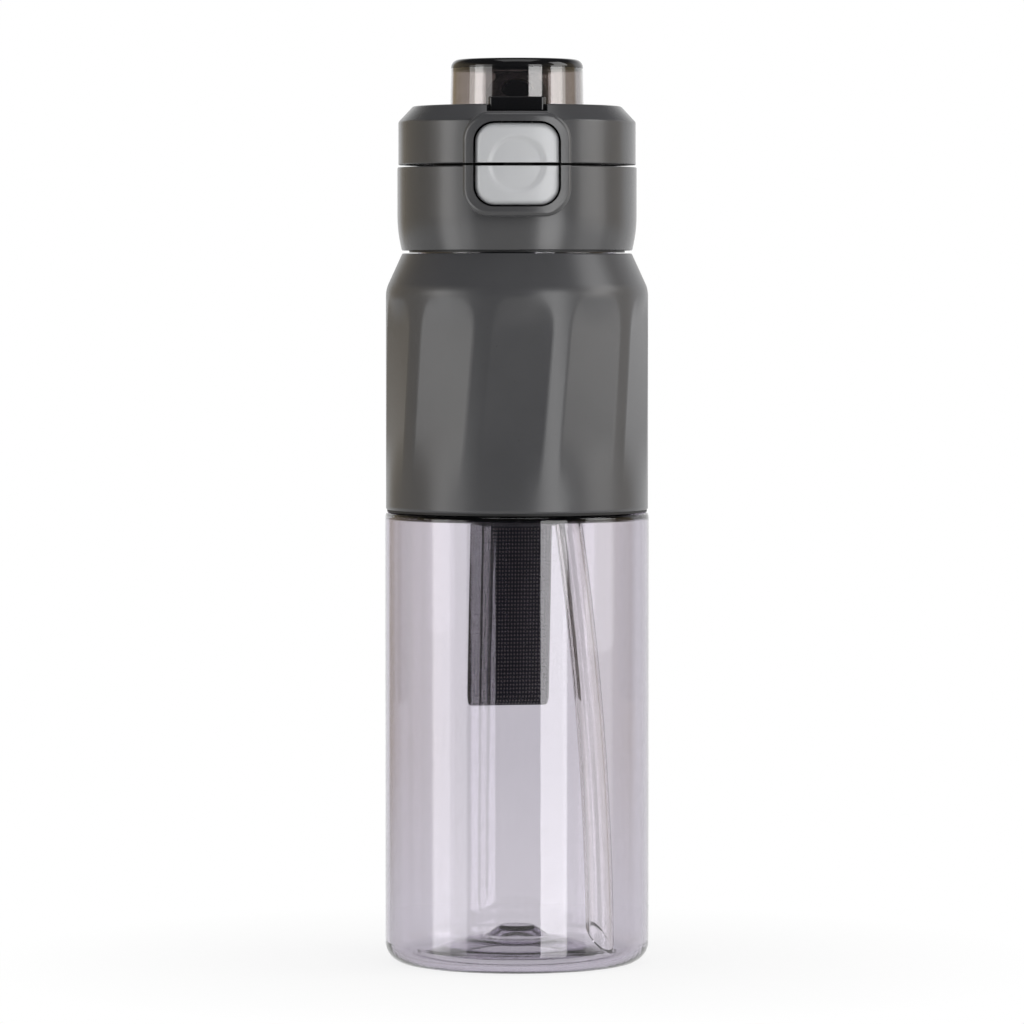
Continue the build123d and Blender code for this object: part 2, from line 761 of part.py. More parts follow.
# Shallow round dish that the two buttons share, its middle on the lid's split
with BuildPart() as button_dish:
    with BuildSketch(Plane.XZ):
        with Locations((0, split_z)):
            Circle(dish_r)
    extrude(amount=body_r)
    Cylinder(button_face_r - dish_depth, 2 * cap_top_z, mode=Mode.SUBTRACT)


def button_plate(low_z, high_z):
    """Make one button's face: a curved plate within the common outline, dished in the middle."""
    with BuildPart() as plate:
        extrude(button_outline(0), amount=body_r)
        Cylinder(button_face_r, 2 * cap_top_z, mode=Mode.INTERSECT)
        with Locations((0, 0, low_z)):
            Box(2 * body_r, 2 * body_r, high_z - low_z, align=(Align.CENTER, Align.CENTER, Align.MIN),
                mode=Mode.INTERSECT)
        fillet(plate.faces().filter_by(GeomType.CYLINDER).sort_by(Axis.Y)[0].edges(), button_edge_r)
        Cylinder(button_back_r, 2 * cap_top_z, mode=Mode.SUBTRACT)
        add(button_dish.part, mode=Mode.SUBTRACT)
    return plate.part


# Lower button, with the arm that reaches over the deck and up to the flip cap's strike
with BuildPart() as lower_button:
    add(button_plate(button_low_z, lower_top_z))
    with BuildSketch(Plane.YZ.offset(-latch_half_w)):
        with BuildLine():
            Polyline(
                (-button_back_r - button_t / 2, latch_arm_z),
                (latch_back_y, latch_arm_z),
                (latch_back_y, liner_top_z + latch_t + strike_gap),
                (latch_back_y - latch_t - strike_gap, liner_top_z + strike_gap + latch_t / 2),
                (latch_back_y - latch_t - strike_gap, liner_top_z + strike_gap),
                (latch_back_y - latch_t, liner_top_z + strike_gap),
                (latch_back_y - latch_t, latch_arm_z + latch_t),
                (-button_back_r - button_t / 2, latch_arm_z + latch_t),
                close=True,
            )
        make_face()
    extrude(amount=2 * latch_half_w)
lower_button.part.label = "lower_button"

lower_spring_z = (button_low_z + latch_arm_z) / 2
lower_spring_y = -button_back_r + button_wire_r / 2
with BuildPart() as lower_button_spring:
    add(coil(button_spring_r, button_wire_r, lower_spring_turns, -core_r - lower_spring_y,
             Plane(origin=(0, lower_spring_y, lower_spring_z), z_dir=(0, 1, 0))))
lower_button_spring.part.label = "lower_button_spring"

# Upper half of the button frame, cut to the inside of the flip cap's wall
with BuildPart() as upper_frame:
    add(button_frame())
    split(bisect_by=Plane.XY.offset(cap_low_z), keep=Keep.TOP)
    with BuildSketch(Plane.XZ):
        with BuildLine():
            Polyline(
                (0, cap_plate_low_z), (cap_top_r - cap_wall / 2, cap_plate_low_z),
                (cap_r - cap_wall, cap_bevel_z - cap_wall / 2), (cap_r - cap_wall, cap_low_z - overrun),
                (0, cap_low_z - overrun), close=True,
            )
        make_face()
    revolve(axis=Axis.Z, mode=Mode.SUBTRACT)

# Flip cap: a hollow shell, bevelled round its top, with the upper half of the button frame
cover_spring_half_w = cover_ear_half_w / 2
notch_half_w = tab_w / 2 + button_gap
with BuildPart() as cap_shell:
    with BuildSketch(Plane.XZ):
        with BuildLine():
            FilletPolyline(
                (0, cap_top_z),
                (cap_top_r, cap_top_z),
                (cap_r, cap_bevel_z),
                (cap_r, cap_low_z),
                (cap_r - cap_wall, cap_low_z),
                (cap_r - cap_wall, cap_bevel_z - cap_wall / 2),
                (cap_top_r - cap_wall / 2, cap_plate_low_z),
                (0, cap_plate_low_z),
                radius=[0, cap_wall / 2, cap_wall / 2, collar_edge_r, 0, cap_wall / 2, cap_wall / 4, 0],
                close=True,
            )
        make_face()
    revolve(axis=Axis.Z)
    add(upper_frame.part)
    for side in (-1, 1):
        near, far = cap_spring_half_w, hinge_cap_half_w
        low_x = min(side * near, side * far)
        add(knuckle(hinge_knuckle_r, hinge_pin_r + pin_clearance, low_x, low_x + far - near, hinge_y, hinge_z,
                    cap_low_z + hinge_gap, hinge_z + hinge_knuckle_r, cap_r - cap_wall))
        near, far = cover_spring_half_w, cover_ear_half_w
        low_x = min(side * near, side * far)
        with BuildSketch(Plane.YZ.offset(low_x)):
            with Locations((cover_hinge_y, cover_hinge_z)):
                Circle(cover_knuckle_r)
            with Locations((cover_hinge_y, (cover_hinge_z + cap_plate_low_z) / 2)):
                Rectangle(2 * cover_knuckle_r, cover_hinge_z - cap_plate_low_z)
            with Locations((cover_hinge_y, cover_hinge_z)):
                Circle(cover_pin_r + pin_clearance, mode=Mode.SUBTRACT)
        extrude(amount=far - near)
    extrude(button_outline(button_gap), amount=body_r, mode=Mode.SUBTRACT)
    with BuildSketch(Plane.XY.offset(cap_plate_low_z - overrun)):
        Circle(port_r + cradle_gap)
    extrude(amount=cap_plate_t + 2 * overrun, mode=Mode.SUBTRACT)
    with BuildSketch(Plane.XY.offset(tab_low_z - button_gap)):
        with Locations((0, -cap_r)):
            Rectangle(2 * notch_half_w, 2 * (cap_r - cover_low_r - cover_wall / 2))
    extrude(amount=cap_plate_t, mode=Mode.SUBTRACT)
    hook_y = (tab_front_y - cover_low_r) / 2
    with BuildSketch(Plane.XY.offset(cap_plate_low_z - overrun)):
        with Locations((0, hook_y)):
            Rectangle(2 * latch_half_w + 2 * button_gap, 2 * latch_t + 2 * button_gap)
    extrude(amount=cap_plate_t + overrun, mode=Mode.SUBTRACT)
cap_shell.part.label = "cap_shell"

# Liner: the flip cap's inner plate, with the strike for the latch arm and the spring's post
with BuildPart() as cap_liner:
    with BuildSketch(Plane.XY.offset(liner_z)):
        Circle(liner_r)
        Circle(port_r + cradle_gap / 2, mode=Mode.SUBTRACT)
        window_back_y = latch_back_y + button_travel + strike_gap
        with Locations((0, (strike_front_y + window_back_y) / 2)):
            Rectangle(2 * (latch_half_w + strike_gap), window_back_y - strike_front_y, mode=Mode.SUBTRACT)
    extrude(amount=liner_t)
    with BuildSketch(Plane.XY.offset(liner_top_z)):
        with Locations((0, spring_post_y + latch_t / 2)):
            Rectangle(2 * latch_half_w, latch_t)
    extrude(amount=cap_bevel_z - liner_top_z)
cap_liner.part.label = "cap_liner"

with BuildPart() as cap_seal:
    with BuildSketch(Plane.XY.offset(deck_z + land_h + seal_gap)):
        Circle(land_r + land_w / 2)
        Circle(land_r - land_w / 2, mode=Mode.SUBTRACT)
    extrude(amount=liner_z - deck_z - land_h - seal_gap)
cap_seal.part.label = "cap_seal"

with BuildPart() as spout_port:
    with BuildSketch(Plane.XY.offset(bush_top_z + seal_gap)):
        Circle(port_r)
        Circle(port_bore_r, mode=Mode.SUBTRACT)
    extrude(amount=cap_top_z - bush_top_z - seal_gap)
spout_port.part.label = "spout_port"

# Cradle: two cheeks on the flip cap's top that hold the spout's trunnions, with a back wall that
# shuts the folded spout's bore, all inside the spout's own arch as seen from the front
spout_floor_z = spout_pivot_z - spout_drum_r
spout_arch_z = spout_top_z - spout_arch_h
with BuildPart() as spout_cradle:
    for side in (-1, 1):
        low_x = cradle_w / 2 - cheek_t if side > 0 else -cradle_w / 2
        with BuildSketch(Plane.YZ.offset(low_x)):
            with Locations((spout_pivot_y, spout_pivot_z)):
                Circle(spout_drum_r)
            with Locations((spout_pivot_y, (spout_pivot_z + cap_top_z) / 2)):
                Rectangle(2 * spout_drum_r, spout_pivot_z - cap_top_z)
        extrude(amount=cheek_t)
    with BuildSketch(Plane.XY.offset(cap_top_z)):
        with Locations((0, spout_pivot_y + spout_drum_r)):
            Rectangle(cradle_w, cheek_t, align=(Align.CENTER, Align.MIN))
    extrude(amount=spout_pivot_z + spout_bore_h / 2 + cheek_t - cap_top_z)
    with BuildSketch(Plane.XZ.offset(-spout_pivot_y - 2 * spout_drum_r)):
        with Locations((0, spout_arch_z)):
            Ellipse(spout_w / 2 + cradle_rim, spout_arch_h + cradle_rim)
            Rectangle(spout_w, 2 * (spout_arch_z - cap_top_z))
    extrude(amount=4 * spout_drum_r, mode=Mode.INTERSECT)
    with BuildSketch(Plane.YZ.offset(-spout_drum_w / 2 - cradle_gap)):
        with Locations((spout_pivot_y, spout_pivot_z)):
            Circle(spout_drum_r + cradle_gap)
    extrude(amount=spout_drum_w + 2 * cradle_gap, mode=Mode.SUBTRACT)
    with BuildSketch(Plane.YZ.offset(-cradle_w / 2)):
        with Locations((spout_pivot_y, spout_pivot_z)):
            Circle(trunnion_r + pin_clearance)
    extrude(amount=cradle_w, mode=Mode.SUBTRACT)
spout_cradle.part.label = "spout_cradle"

# Spout: an arched nozzle on a drum, folded forwards at rest
spout_back_y = spout_pivot_y - spout_drum_r - 2 * cradle_gap
with BuildPart() as spout:
    with BuildSketch(Plane.XZ.offset(-spout_back_y)) as spout_section:
        with Locations((0, spout_arch_z)):
            Ellipse(spout_w / 2, spout_arch_h)
            Rectangle(spout_w, spout_arch_z - spout_floor_z, align=(Align.CENTER, Align.MAX))
        with Locations((0, spout_floor_z)):
            Rectangle(spout_w, spout_top_z - spout_floor_z, align=(Align.CENTER, Align.MIN),
                      mode=Mode.INTERSECT)
    extrude(amount=spout_back_y - spout_front_y)
    fillet(spout.faces().sort_by(Axis.Y)[0].edges(), body_wall / 2)
    with BuildSketch(Plane.YZ.offset(-spout_drum_w / 2)):
        with Locations((spout_pivot_y, spout_pivot_z)):
            Circle(spout_drum_r)
        with Locations(((spout_pivot_y + spout_back_y) / 2, spout_pivot_z)):
            Rectangle(spout_pivot_y - spout_back_y, 2 * spout_drum_r)
    extrude(amount=spout_drum_w)
    with BuildSketch(Plane.YZ.offset(-cradle_w / 2)):
        with Locations((spout_pivot_y, spout_pivot_z)):
            Circle(trunnion_r)
    extrude(amount=cradle_w)
    with BuildSketch(Plane.XZ.offset(-spout_pivot_y - spout_drum_r - overrun)):
        with Locations((0, spout_pivot_z)):
            Ellipse(spout_bore_w / 2, spout_bore_h / 2)
    extrude(amount=spout_pivot_y + spout_drum_r - spout_front_y + 2 * overrun, mode=Mode.SUBTRACT)
spout.part.label = "spout"

# Upper button, with the stem that its spring pushes on
with BuildPart() as upper_button:
    add(button_plate(upper_low_z, button_high_z))
    with BuildSketch(Plane.YZ.offset(-latch_half_w)):
        with BuildLine():
            Polyline(
                (-button_back_r - button_t / 2, stem_low_z), (stem_back_y, stem_low_z),
                (stem_back_y, stem_high_z), (-button_back_r - button_t / 2, stem_high_z), close=True,
            )
        make_face()
    extrude(amount=2 * latch_half_w)
upper_button.part.label = "upper_button"

with BuildPart() as upper_button_spring:
    add(coil(button_spring_r, button_wire_r, upper_spring_turns, spring_post_y - stem_back_y,
             Plane(origin=(0, stem_back_y, (stem_low_z + stem_high_z) / 2), z_dir=(0, 1, 0))))
upper_button_spring.part.label = "upper_button_spring"

# Dust cover: a clear cup turned over the spout, with a flat arm down its back to the hinge
cover_arm_back_y = cover_hinge_y - cover_knuckle_r
with BuildPart() as dust_cover:
    with BuildSketch(Plane.XZ):
        with BuildLine():
            FilletPolyline(
                (0, cover_top_z),
                (cover_top_r, cover_top_z),
                (cover_low_r, cover_low_z),
                (0, cover_low_z),
                radius=[0, cover_corner_r, 0, 0],
                close=True,
            )
        make_face()
    revolve(axis=Axis.Z)
    with BuildSketch(Plane.XY.offset(cover_low_z)):
        with Locations((0, cover_arm_back_y / 2)):
            Rectangle(cover_arm_w, cover_arm_back_y)
    extrude(amount=cover_top_z - cover_plate_t - cover_low_z)
    for side in (-1, 1):
        near, far = cover_ear_half_w + hinge_gap, cover_arm_w / 2
        low_x = min(side * near, side * far)
        add(knuckle(cover_knuckle_r, cover_pin_r + pin_clearance, low_x, low_x + far - near, cover_hinge_y,
                    cover_hinge_z, cover_hinge_z - cover_knuckle_r / 2, cover_hinge_z + cover_knuckle_r,
                    cover_low_r - cover_wall / 2))
    with BuildSketch(Plane.XY.offset(cover_low_z - overrun)):
        with Locations((0, cover_arm_back_y + cover_knuckle_r / 2)):
            Rectangle(2 * (cover_ear_half_w + hinge_gap),
                      cover_knuckle_r + 2 * (cover_arm_back_y - cover_low_r))
    extrude(amount=cover_hinge_z + 2 * cover_knuckle_r - cover_low_z, mode=Mode.SUBTRACT)
    with BuildSketch(Plane.XZ):
        with BuildLine():
            FilletPolyline(
                (0, cover_top_z - cover_plate_t),
                (cover_top_r - cover_wall, cover_top_z - cover_plate_t),
                (cover_low_r - cover_wall, cover_low_z - overrun),
                (0, cover_low_z - overrun),
                radius=[0, cover_wall, 0, 0],
                close=True,
            )
        make_face()
    revolve(axis=Axis.Z, mode=Mode.SUBTRACT)
dust_cover.part.label = "dust_cover"

# Latch tab on the dust cover's front, with the hook that the upper button frees
with BuildPart() as cover_latch:
    with BuildSketch(Plane.XY.offset(cover_low_z)):
        with Locations((0, tab_front_y)):
            Rectangle(tab_w, -tab_front_y, align=(Align.CENTER, Align.MIN))
        Circle(cover_low_r + pin_clearance, mode=Mode.SUBTRACT)
    extrude(amount=tab_high_z - cover_low_z)
    with BuildSketch(Plane.XY.offset(tab_low_z)):
        with Locations((0, tab_front_y)):
            Rectangle(tab_w, -tab_front_y - cover_low_r - 2 * button_gap, align=(Align.CENTER, Align.MIN))
    extrude(amount=cover_low_z - tab_low_z)
    fillet(cover_latch.edges().filter_by(Axis.Z).group_by(Axis.Y)[0], tab_corner_r)
    fillet(cover_latch.edges().group_by(Axis.Z)[-1].filter_by(Axis.X), body_wall / 5)
    with BuildSketch(Plane.XY.offset(tab_low_z)):
        with Locations((0, hook_y)):
            Rectangle(2 * latch_half_w, 2 * latch_t)
    extrude(amount=stem_high_z + button_inset - tab_low_z)
cover_latch.part.label = "cover_latch"

with BuildPart() as cover_pin:
    with BuildSketch(Plane.YZ.offset(-cover_arm_w / 2)):
        with Locations((cover_hinge_y, cover_hinge_z)):
            Circle(cover_pin_r)
    extrude(amount=cover_arm_w)
cover_pin.part.label = "cover_pin"

cover_spring_r = cover_pin_r + cover_wire_r + cover_spring_gap
with BuildPart() as cover_spring:
    spring_place = (hinge_gap / 2 - cover_spring_half_w, cover_hinge_y, cover_hinge_z)
    add(coil(cover_spring_r, cover_wire_r, cover_spring_turns, 2 * cover_spring_half_w - hinge_gap,
             Plane(origin=spring_place, z_dir=(1, 0, 0))))
cover_spring.part.label = "cover_spring"

for piece in (
    bottle_body, hem_gasket, grip_sleeve, lid_gasket, lid_core, basket_tube, mouth_plate, collar_shell, straw,
    straw_bush,
    infuser_basket, infuser_base, hinge_pin, cap_spring, strap_bar, carry_strap, lower_button,
    lower_button_spring, cap_shell, cap_liner, cap_seal, spout_port, spout_cradle, spout,
    upper_button, upper_button_spring, dust_cover, cover_latch, cover_pin, cover_spring,
):
    export_step(piece.part, "parts/" + piece.part.label + ".step")
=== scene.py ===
import math

import bpy
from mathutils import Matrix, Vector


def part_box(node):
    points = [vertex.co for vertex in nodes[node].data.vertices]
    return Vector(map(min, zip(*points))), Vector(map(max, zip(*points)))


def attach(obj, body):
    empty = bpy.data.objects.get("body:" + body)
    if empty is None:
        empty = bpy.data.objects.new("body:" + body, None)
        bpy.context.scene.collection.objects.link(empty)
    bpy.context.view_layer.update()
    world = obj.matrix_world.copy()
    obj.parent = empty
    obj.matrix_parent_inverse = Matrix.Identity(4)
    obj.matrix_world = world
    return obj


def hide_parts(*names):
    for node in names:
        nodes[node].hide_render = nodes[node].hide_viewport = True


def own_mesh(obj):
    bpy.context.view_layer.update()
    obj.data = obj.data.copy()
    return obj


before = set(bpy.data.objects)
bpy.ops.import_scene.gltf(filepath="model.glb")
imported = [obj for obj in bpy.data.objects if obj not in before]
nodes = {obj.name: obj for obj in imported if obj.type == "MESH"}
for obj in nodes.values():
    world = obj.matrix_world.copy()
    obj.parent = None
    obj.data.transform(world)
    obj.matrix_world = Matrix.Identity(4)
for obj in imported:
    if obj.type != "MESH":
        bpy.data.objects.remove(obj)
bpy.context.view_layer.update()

# Studio: a white sweep behind the bottle, tall softboxes at both sides of it and one overhead. The front of
# the room and its ceiling are left dim: the clear barrel mirrors the front as its darker middle band, and the
# lid's bevel and the sleeve's shoulder mirror the ceiling.
scene = bpy.context.scene
scene.view_settings.view_transform = "Standard"

camera_place = (-0.00148, -1.74, 0.2027)
camera_tilt_deg = 2.286
camera_lens_mm = 207.0
backdrop_white = "#ffffff"
backdrop_half_deg = 44.0
backdrop_turn_deg = 14.0
backdrop_fade = 0.05
room_even = "#b0b0b1"
room_side = "#b6a88e"
room_front = "#47484c"
front_start, front_whole = -0.2, -0.8
room_floor = "#e4e3e0"
low_start, low_whole = -0.08, -0.108
room_ceiling = "#3c3c3e"
ceiling_start, ceiling_whole = 0.25, 0.6
# A ray has bounced at least once when its count is above this
any_bounce = 0.5
floor_pale = "#e9e9e7"
floor_dust = "#dededc"
floor_half = 1.6
speck_mm = 11.1
shadow_near, shadow_far = 0.03, 0.16
shadow_level = 0.84
softboxes = (
    # name, azimuth from the camera towards +X in degrees, distance, low, high, width, strength
    ("softbox_right", 32.0, 1.2, -0.42, 0.62, 0.50, 4.1),
    ("softbox_left", -69.0, 1.2, -0.42, 0.62, 0.38, 2.6),
    ("softbox_left_rim", -52.0, 1.2, -0.42, 0.62, 0.34, 1.5),
    ("softbox_right_side", 76.0, 1.2, -0.42, 0.5, 0.64, 0.9),
    ("softbox_right_middle", 77.0, 1.2, 0.02, 0.5, 0.7, 0.8),
    ("softbox_right_upper", 73.0, 1.2, 0.285, 0.5, 0.5, 2.0),
    ("softbox_left_upper", -76.0, 1.2, 0.285, 0.5, 0.6, 1.5),
    ("softbox_right_high", 84.0, 1.2, 0.5, 1.4, 0.66, 3.2),
)
top_box_place = (0, -0.25, 1.5)
top_box_width = 0.9
top_box_strength = 1.3


def linear(code):
    """Turn an sRGB hex colour to a linear one."""
    parts = [int(code[i:i + 2], 16) / 255 for i in (1, 3, 5)]
    return (*[p / 12.92 if p <= 0.04045 else ((p + 0.055) / 1.055) ** 2.4 for p in parts], 1.0)


def set_node(tree, node, settings=(), links=()):
    """Set a node's attributes or inputs, link its inputs, and give it back."""
    for name, value in dict(settings).items():
        if isinstance(name, str) and hasattr(node, name):
            setattr(node, name, value)
        else:
            node.inputs[name].default_value = value
    for name, socket in dict(links).items():
        tree.links.new(socket, node.inputs[name])
    return node


def add_node(tree, kind, settings=(), links=()):
    """Add a node to a tree with its settings and links."""
    return set_node(tree, tree.nodes.new(kind), settings, links)


camera_data = bpy.data.cameras.new("camera")
camera_data.lens = camera_lens_mm
camera = bpy.data.objects.new("camera", camera_data)
camera.location = camera_place
camera.rotation_euler = (math.radians(90 - camera_tilt_deg), 0, 0)
scene.collection.objects.link(camera)
scene.camera = camera

world = bpy.data.worlds.new("studio_room")
world.use_nodes = True
tree = world.node_tree
tree.nodes.clear()
rays = add_node(tree, "ShaderNodeLightPath")
direction = add_node(tree, "ShaderNodeTexCoord").outputs["Generated"]
level = add_node(tree, "ShaderNodeVectorMath", {"operation": "MULTIPLY", 1: (1, 1, 0)}, {0: direction})
level = add_node(tree, "ShaderNodeVectorMath", {"operation": "NORMALIZE"}, {0: level.outputs[0]})
bearing = add_node(tree, "ShaderNodeSeparateXYZ", links={0: level.outputs[0]})
tilt = add_node(tree, "ShaderNodeSeparateXYZ", links={0: direction})
edge = math.cos(math.radians(backdrop_half_deg))
sweep_turn = math.radians(backdrop_turn_deg)
sweep_middle = (math.sin(sweep_turn), math.cos(sweep_turn), 0)
behind = add_node(tree, "ShaderNodeVectorMath", {"operation": "DOT_PRODUCT", 1: sweep_middle},
                  {0: level.outputs[0]})
# What is mirrored: warm walls all round, and over them the dim front, the pale floor, the white sweep behind
# and the dim ceiling. Each comes in between two values of what it goes by.
layers = (
    (bearing.outputs["Y"], front_start, front_whole, room_front),
    (tilt.outputs["Z"], low_start, low_whole, room_floor),
    (behind.outputs["Value"], edge - backdrop_fade, edge + backdrop_fade, backdrop_white),
    (tilt.outputs["Z"], ceiling_start, ceiling_whole, room_ceiling),
)
room = None
for goes_by, start, whole, colour in layers:
    share = add_node(tree, "ShaderNodeMapRange", {"From Min": start, "From Max": whole}, {"Value": goes_by})
    below = {6: room.outputs[2]} if room else {}
    room = add_node(tree, "ShaderNodeMix", {"data_type": "RGBA", 6: linear(room_side), 7: linear(colour)},
                    {"Factor": share.outputs["Result"], **below})
# The camera, and what shows straight through clear plastic, see the white backdrop from every side, and matt
# surfaces are lit by an even grey room
mirrored, scattered = [
    add_node(tree, "ShaderNodeMath", {"operation": "GREATER_THAN", 1: any_bounce}, {0: rays.outputs[depth]})
    for depth in ("Glossy Depth", "Diffuse Depth")]
seen = add_node(tree, "ShaderNodeMix", {"data_type": "RGBA", 6: linear(backdrop_white)},
                {"Factor": mirrored.outputs[0], 7: room.outputs[2]})
shown = add_node(tree, "ShaderNodeMix", {"data_type": "RGBA", 7: linear(room_even)},
                 {"Factor": scattered.outputs[0], 6: seen.outputs[2]})
sky = add_node(tree, "ShaderNodeBackground", links={"Color": shown.outputs[2]})
add_node(tree, "ShaderNodeOutputWorld", links={"Surface": sky.outputs[0]})
scene.world = world

floor_mesh = bpy.data.meshes.new("floor")
floor_corners = ((-floor_half, -floor_half), (floor_half, -floor_half),
                 (floor_half, floor_half), (-floor_half, floor_half))
floor_mesh.from_pydata([(x, y, 0) for x, y in floor_corners], [], [(0, 1, 2, 3)])
floor = bpy.data.objects.new("floor", floor_mesh)
scene.collection.objects.link(floor)
floor_card = bpy.data.materials.new("matt_white_card")
floor_card.use_nodes = True
tree = floor_card.node_tree
tree.nodes.clear()
rays = add_node(tree, "ShaderNodeLightPath")
place = add_node(tree, "ShaderNodeTexCoord")
speck = add_node(tree, "ShaderNodeTexNoise", {"Scale": 1000 / speck_mm}, {"Vector": place.outputs["Object"]})
card = add_node(tree, "ShaderNodeMix", {"data_type": "RGBA", 6: linear(floor_pale), 7: linear(floor_dust)},
                {"Factor": speck.outputs[0]})
matt = add_node(tree, "ShaderNodeBsdfDiffuse", links={"Color": card.outputs[2]})
glow = add_node(tree, "ShaderNodeEmission", {"Color": linear(backdrop_white)})
# Near the bottle the card keeps some of its own shade, so the bottle's shadow shows; further out it is white
far = add_node(tree, "ShaderNodeVectorMath", {"operation": "LENGTH"}, {0: place.outputs["Object"]})
fade = add_node(tree, "ShaderNodeMapRange",
                {"From Min": shadow_near, "From Max": shadow_far, "To Min": shadow_level, "To Max": 1.0},
                {"Value": far.outputs["Value"]})
unscattered = add_node(tree, "ShaderNodeMath", {"operation": "LESS_THAN", 1: any_bounce},
                       {0: rays.outputs["Diffuse Depth"]})
white = add_node(tree, "ShaderNodeMath", {"operation": "MULTIPLY"},
                 {0: unscattered.outputs[0], 1: fade.outputs["Result"]})
body = add_node(tree, "ShaderNodeMixShader",
                links={0: white.outputs[0], 1: matt.outputs[0], 2: glow.outputs[0]})
# Mirrored rays pass through the floor to the room's own pale floor
mirrored = add_node(tree, "ShaderNodeMath", {"operation": "GREATER_THAN", 1: any_bounce},
                    {0: rays.outputs["Glossy Depth"]})
hole = add_node(tree, "ShaderNodeBsdfTransparent")
top = add_node(tree, "ShaderNodeMixShader",
               links={0: mirrored.outputs[0], 1: body.outputs[0], 2: hole.outputs[0]})
add_node(tree, "ShaderNodeOutputMaterial", links={"Surface": top.outputs[0]})
floor_mesh.materials.append(floor_card)


def add_softbox(name, width, height, strength, place, turns):
    """Hang a softbox of this width and height, which is equally bright at any size."""
    lamp = bpy.data.lights.new(name, "AREA")
    lamp.shape = "RECTANGLE"
    lamp.size, lamp.size_y = width, height
    lamp.energy = strength * math.pi * width * height
    box = bpy.data.objects.new(name, lamp)
    box.location, box.rotation_euler = place, turns
    scene.collection.objects.link(box)


for name, azimuth, distance, low, high, width, strength in softboxes:
    turn = math.radians(azimuth)
    box_place = (distance * math.sin(turn), -distance * math.cos(turn), (low + high) / 2)
    add_softbox(name, width, high - low, strength, box_place, (math.radians(90), 0, turn))
add_softbox("softbox_top", top_box_width, top_box_width, top_box_strength, top_box_place, (0, 0, 0))

# Bottle: one blow-moulded piece of clear smoky copolyester with a domed foot and a threaded neck. Its wall is
# even and polished, so its tint shows most where the sight runs along it, at the edges.
barrel_smoke = "#907da2"
haze_spread = 0.5


def start_material(name):
    """Make a material, and give it with its nodes and its shader."""
    made = bpy.data.materials.new(name)
    made.use_nodes = True
    return made, made.node_tree, made.node_tree.nodes["Principled BSDF"]


def clear_plastic(name, haze, wave_mm, wave_depth, ior, smoke, density, tint):
    """Make a clear plastic: polished, slightly wavy, with its tint inside it. Lamps shine through it."""
    made, tree, shader = start_material(name)
    output = tree.nodes["Material Output"]
    place = add_node(tree, "ShaderNodeTexCoord")
    wave = add_node(tree, "ShaderNodeTexNoise", {"Scale": 1000 / wave_mm, "Detail": 1.0},
                    {"Vector": place.outputs["Object"]})
    rough = add_node(tree, "ShaderNodeMapRange",
                     {"To Min": haze * (1 - haze_spread), "To Max": haze * (1 + haze_spread)},
                     {"Value": wave.outputs[0]})
    bump = add_node(tree, "ShaderNodeBump", {"Strength": 1.0, "Distance": wave_depth},
                    {"Height": wave.outputs[0]})
    set_node(tree, shader, {"Base Color": linear("#ffffff"), "Transmission Weight": 1.0, "IOR": ior},
             {"Roughness": rough.outputs["Result"], "Normal": bump.outputs["Normal"]})
    rays = add_node(tree, "ShaderNodeLightPath")
    through = add_node(tree, "ShaderNodeBsdfTransparent", {"Color": linear(tint)})
    surface = add_node(tree, "ShaderNodeMixShader",
                       links={0: rays.outputs["Is Shadow Ray"], 1: shader.outputs[0], 2: through.outputs[0]})
    inside = add_node(tree, "ShaderNodeVolumeAbsorption", {"Color": linear(smoke), "Density": density})
    set_node(tree, output, links={"Surface": surface.outputs[0], "Volume": inside.outputs[0]})
    return made


def dress(node, material):
    """Give a CAD node this material in place of its plain one."""
    mesh = nodes[node].data
    mesh.materials.clear()
    mesh.materials.append(material)


clear_copolyester = clear_plastic(
    "clear_copolyester_blow_moulded", haze=0.012, wave_mm=14.0, wave_depth=0.00002, ior=1.54,
    smoke=barrel_smoke, density=240.0, tint="#e6e4ea")
dress("bottle_body", clear_copolyester)

# Seals: moulded black silicone. One ring lies under the sleeve's hem, one between the neck and the lid and
# one round the drinking mouth, and a sleeve of it grips the straw. They are matt, with only a faint sheen.
silicone_black = "#141414"
silicone_bloom = "#202021"


def moulded(name, dark, light, rough, patch_mm, grain_mm, grain_depth, ior):
    """Make an opaque moulded plastic or rubber: two close shades in patches, and a fine grain on its surface.

    A real tool's grain is too fine to show, so grain_mm is several times as coarse.
    """
    made, tree, shader = start_material(name)
    place = add_node(tree, "ShaderNodeTexCoord")
    patch = add_node(tree, "ShaderNodeTexNoise", {"Scale": 1000 / patch_mm, "Detail": 2.0},
                     {"Vector": place.outputs["Object"]})
    grain = add_node(tree, "ShaderNodeTexNoise", {"Scale": 1000 / grain_mm, "Detail": 1.0},
                     {"Vector": place.outputs["Object"]})
    shade = add_node(tree, "ShaderNodeMix", {"data_type": "RGBA", 6: linear(dark), 7: linear(light)},
                     {"Factor": patch.outputs[0]})
    gloss = add_node(tree, "ShaderNodeMapRange", {"To Min": rough[0], "To Max": rough[1]},
                     {"Value": grain.outputs[0]})
    bump = add_node(tree, "ShaderNodeBump", {"Strength": 1.0, "Distance": grain_depth},
                    {"Height": grain.outputs[0]})
    set_node(tree, shader, {"IOR": ior},
             {"Base Color": shade.outputs[2], "Roughness": gloss.outputs["Result"],
              "Normal": bump.outputs["Normal"]})
    return made


black_silicone = moulded(
    "black_silicone_moulded", silicone_black, silicone_bloom, rough=(0.5, 0.65),
    patch_mm=6.0, grain_mm=0.5, grain_depth=0.00001, ior=1.41)
for seal in ("hem_gasket", "lid_gasket", "cap_seal", "straw_bush"):
    dress(seal, black_silicone)

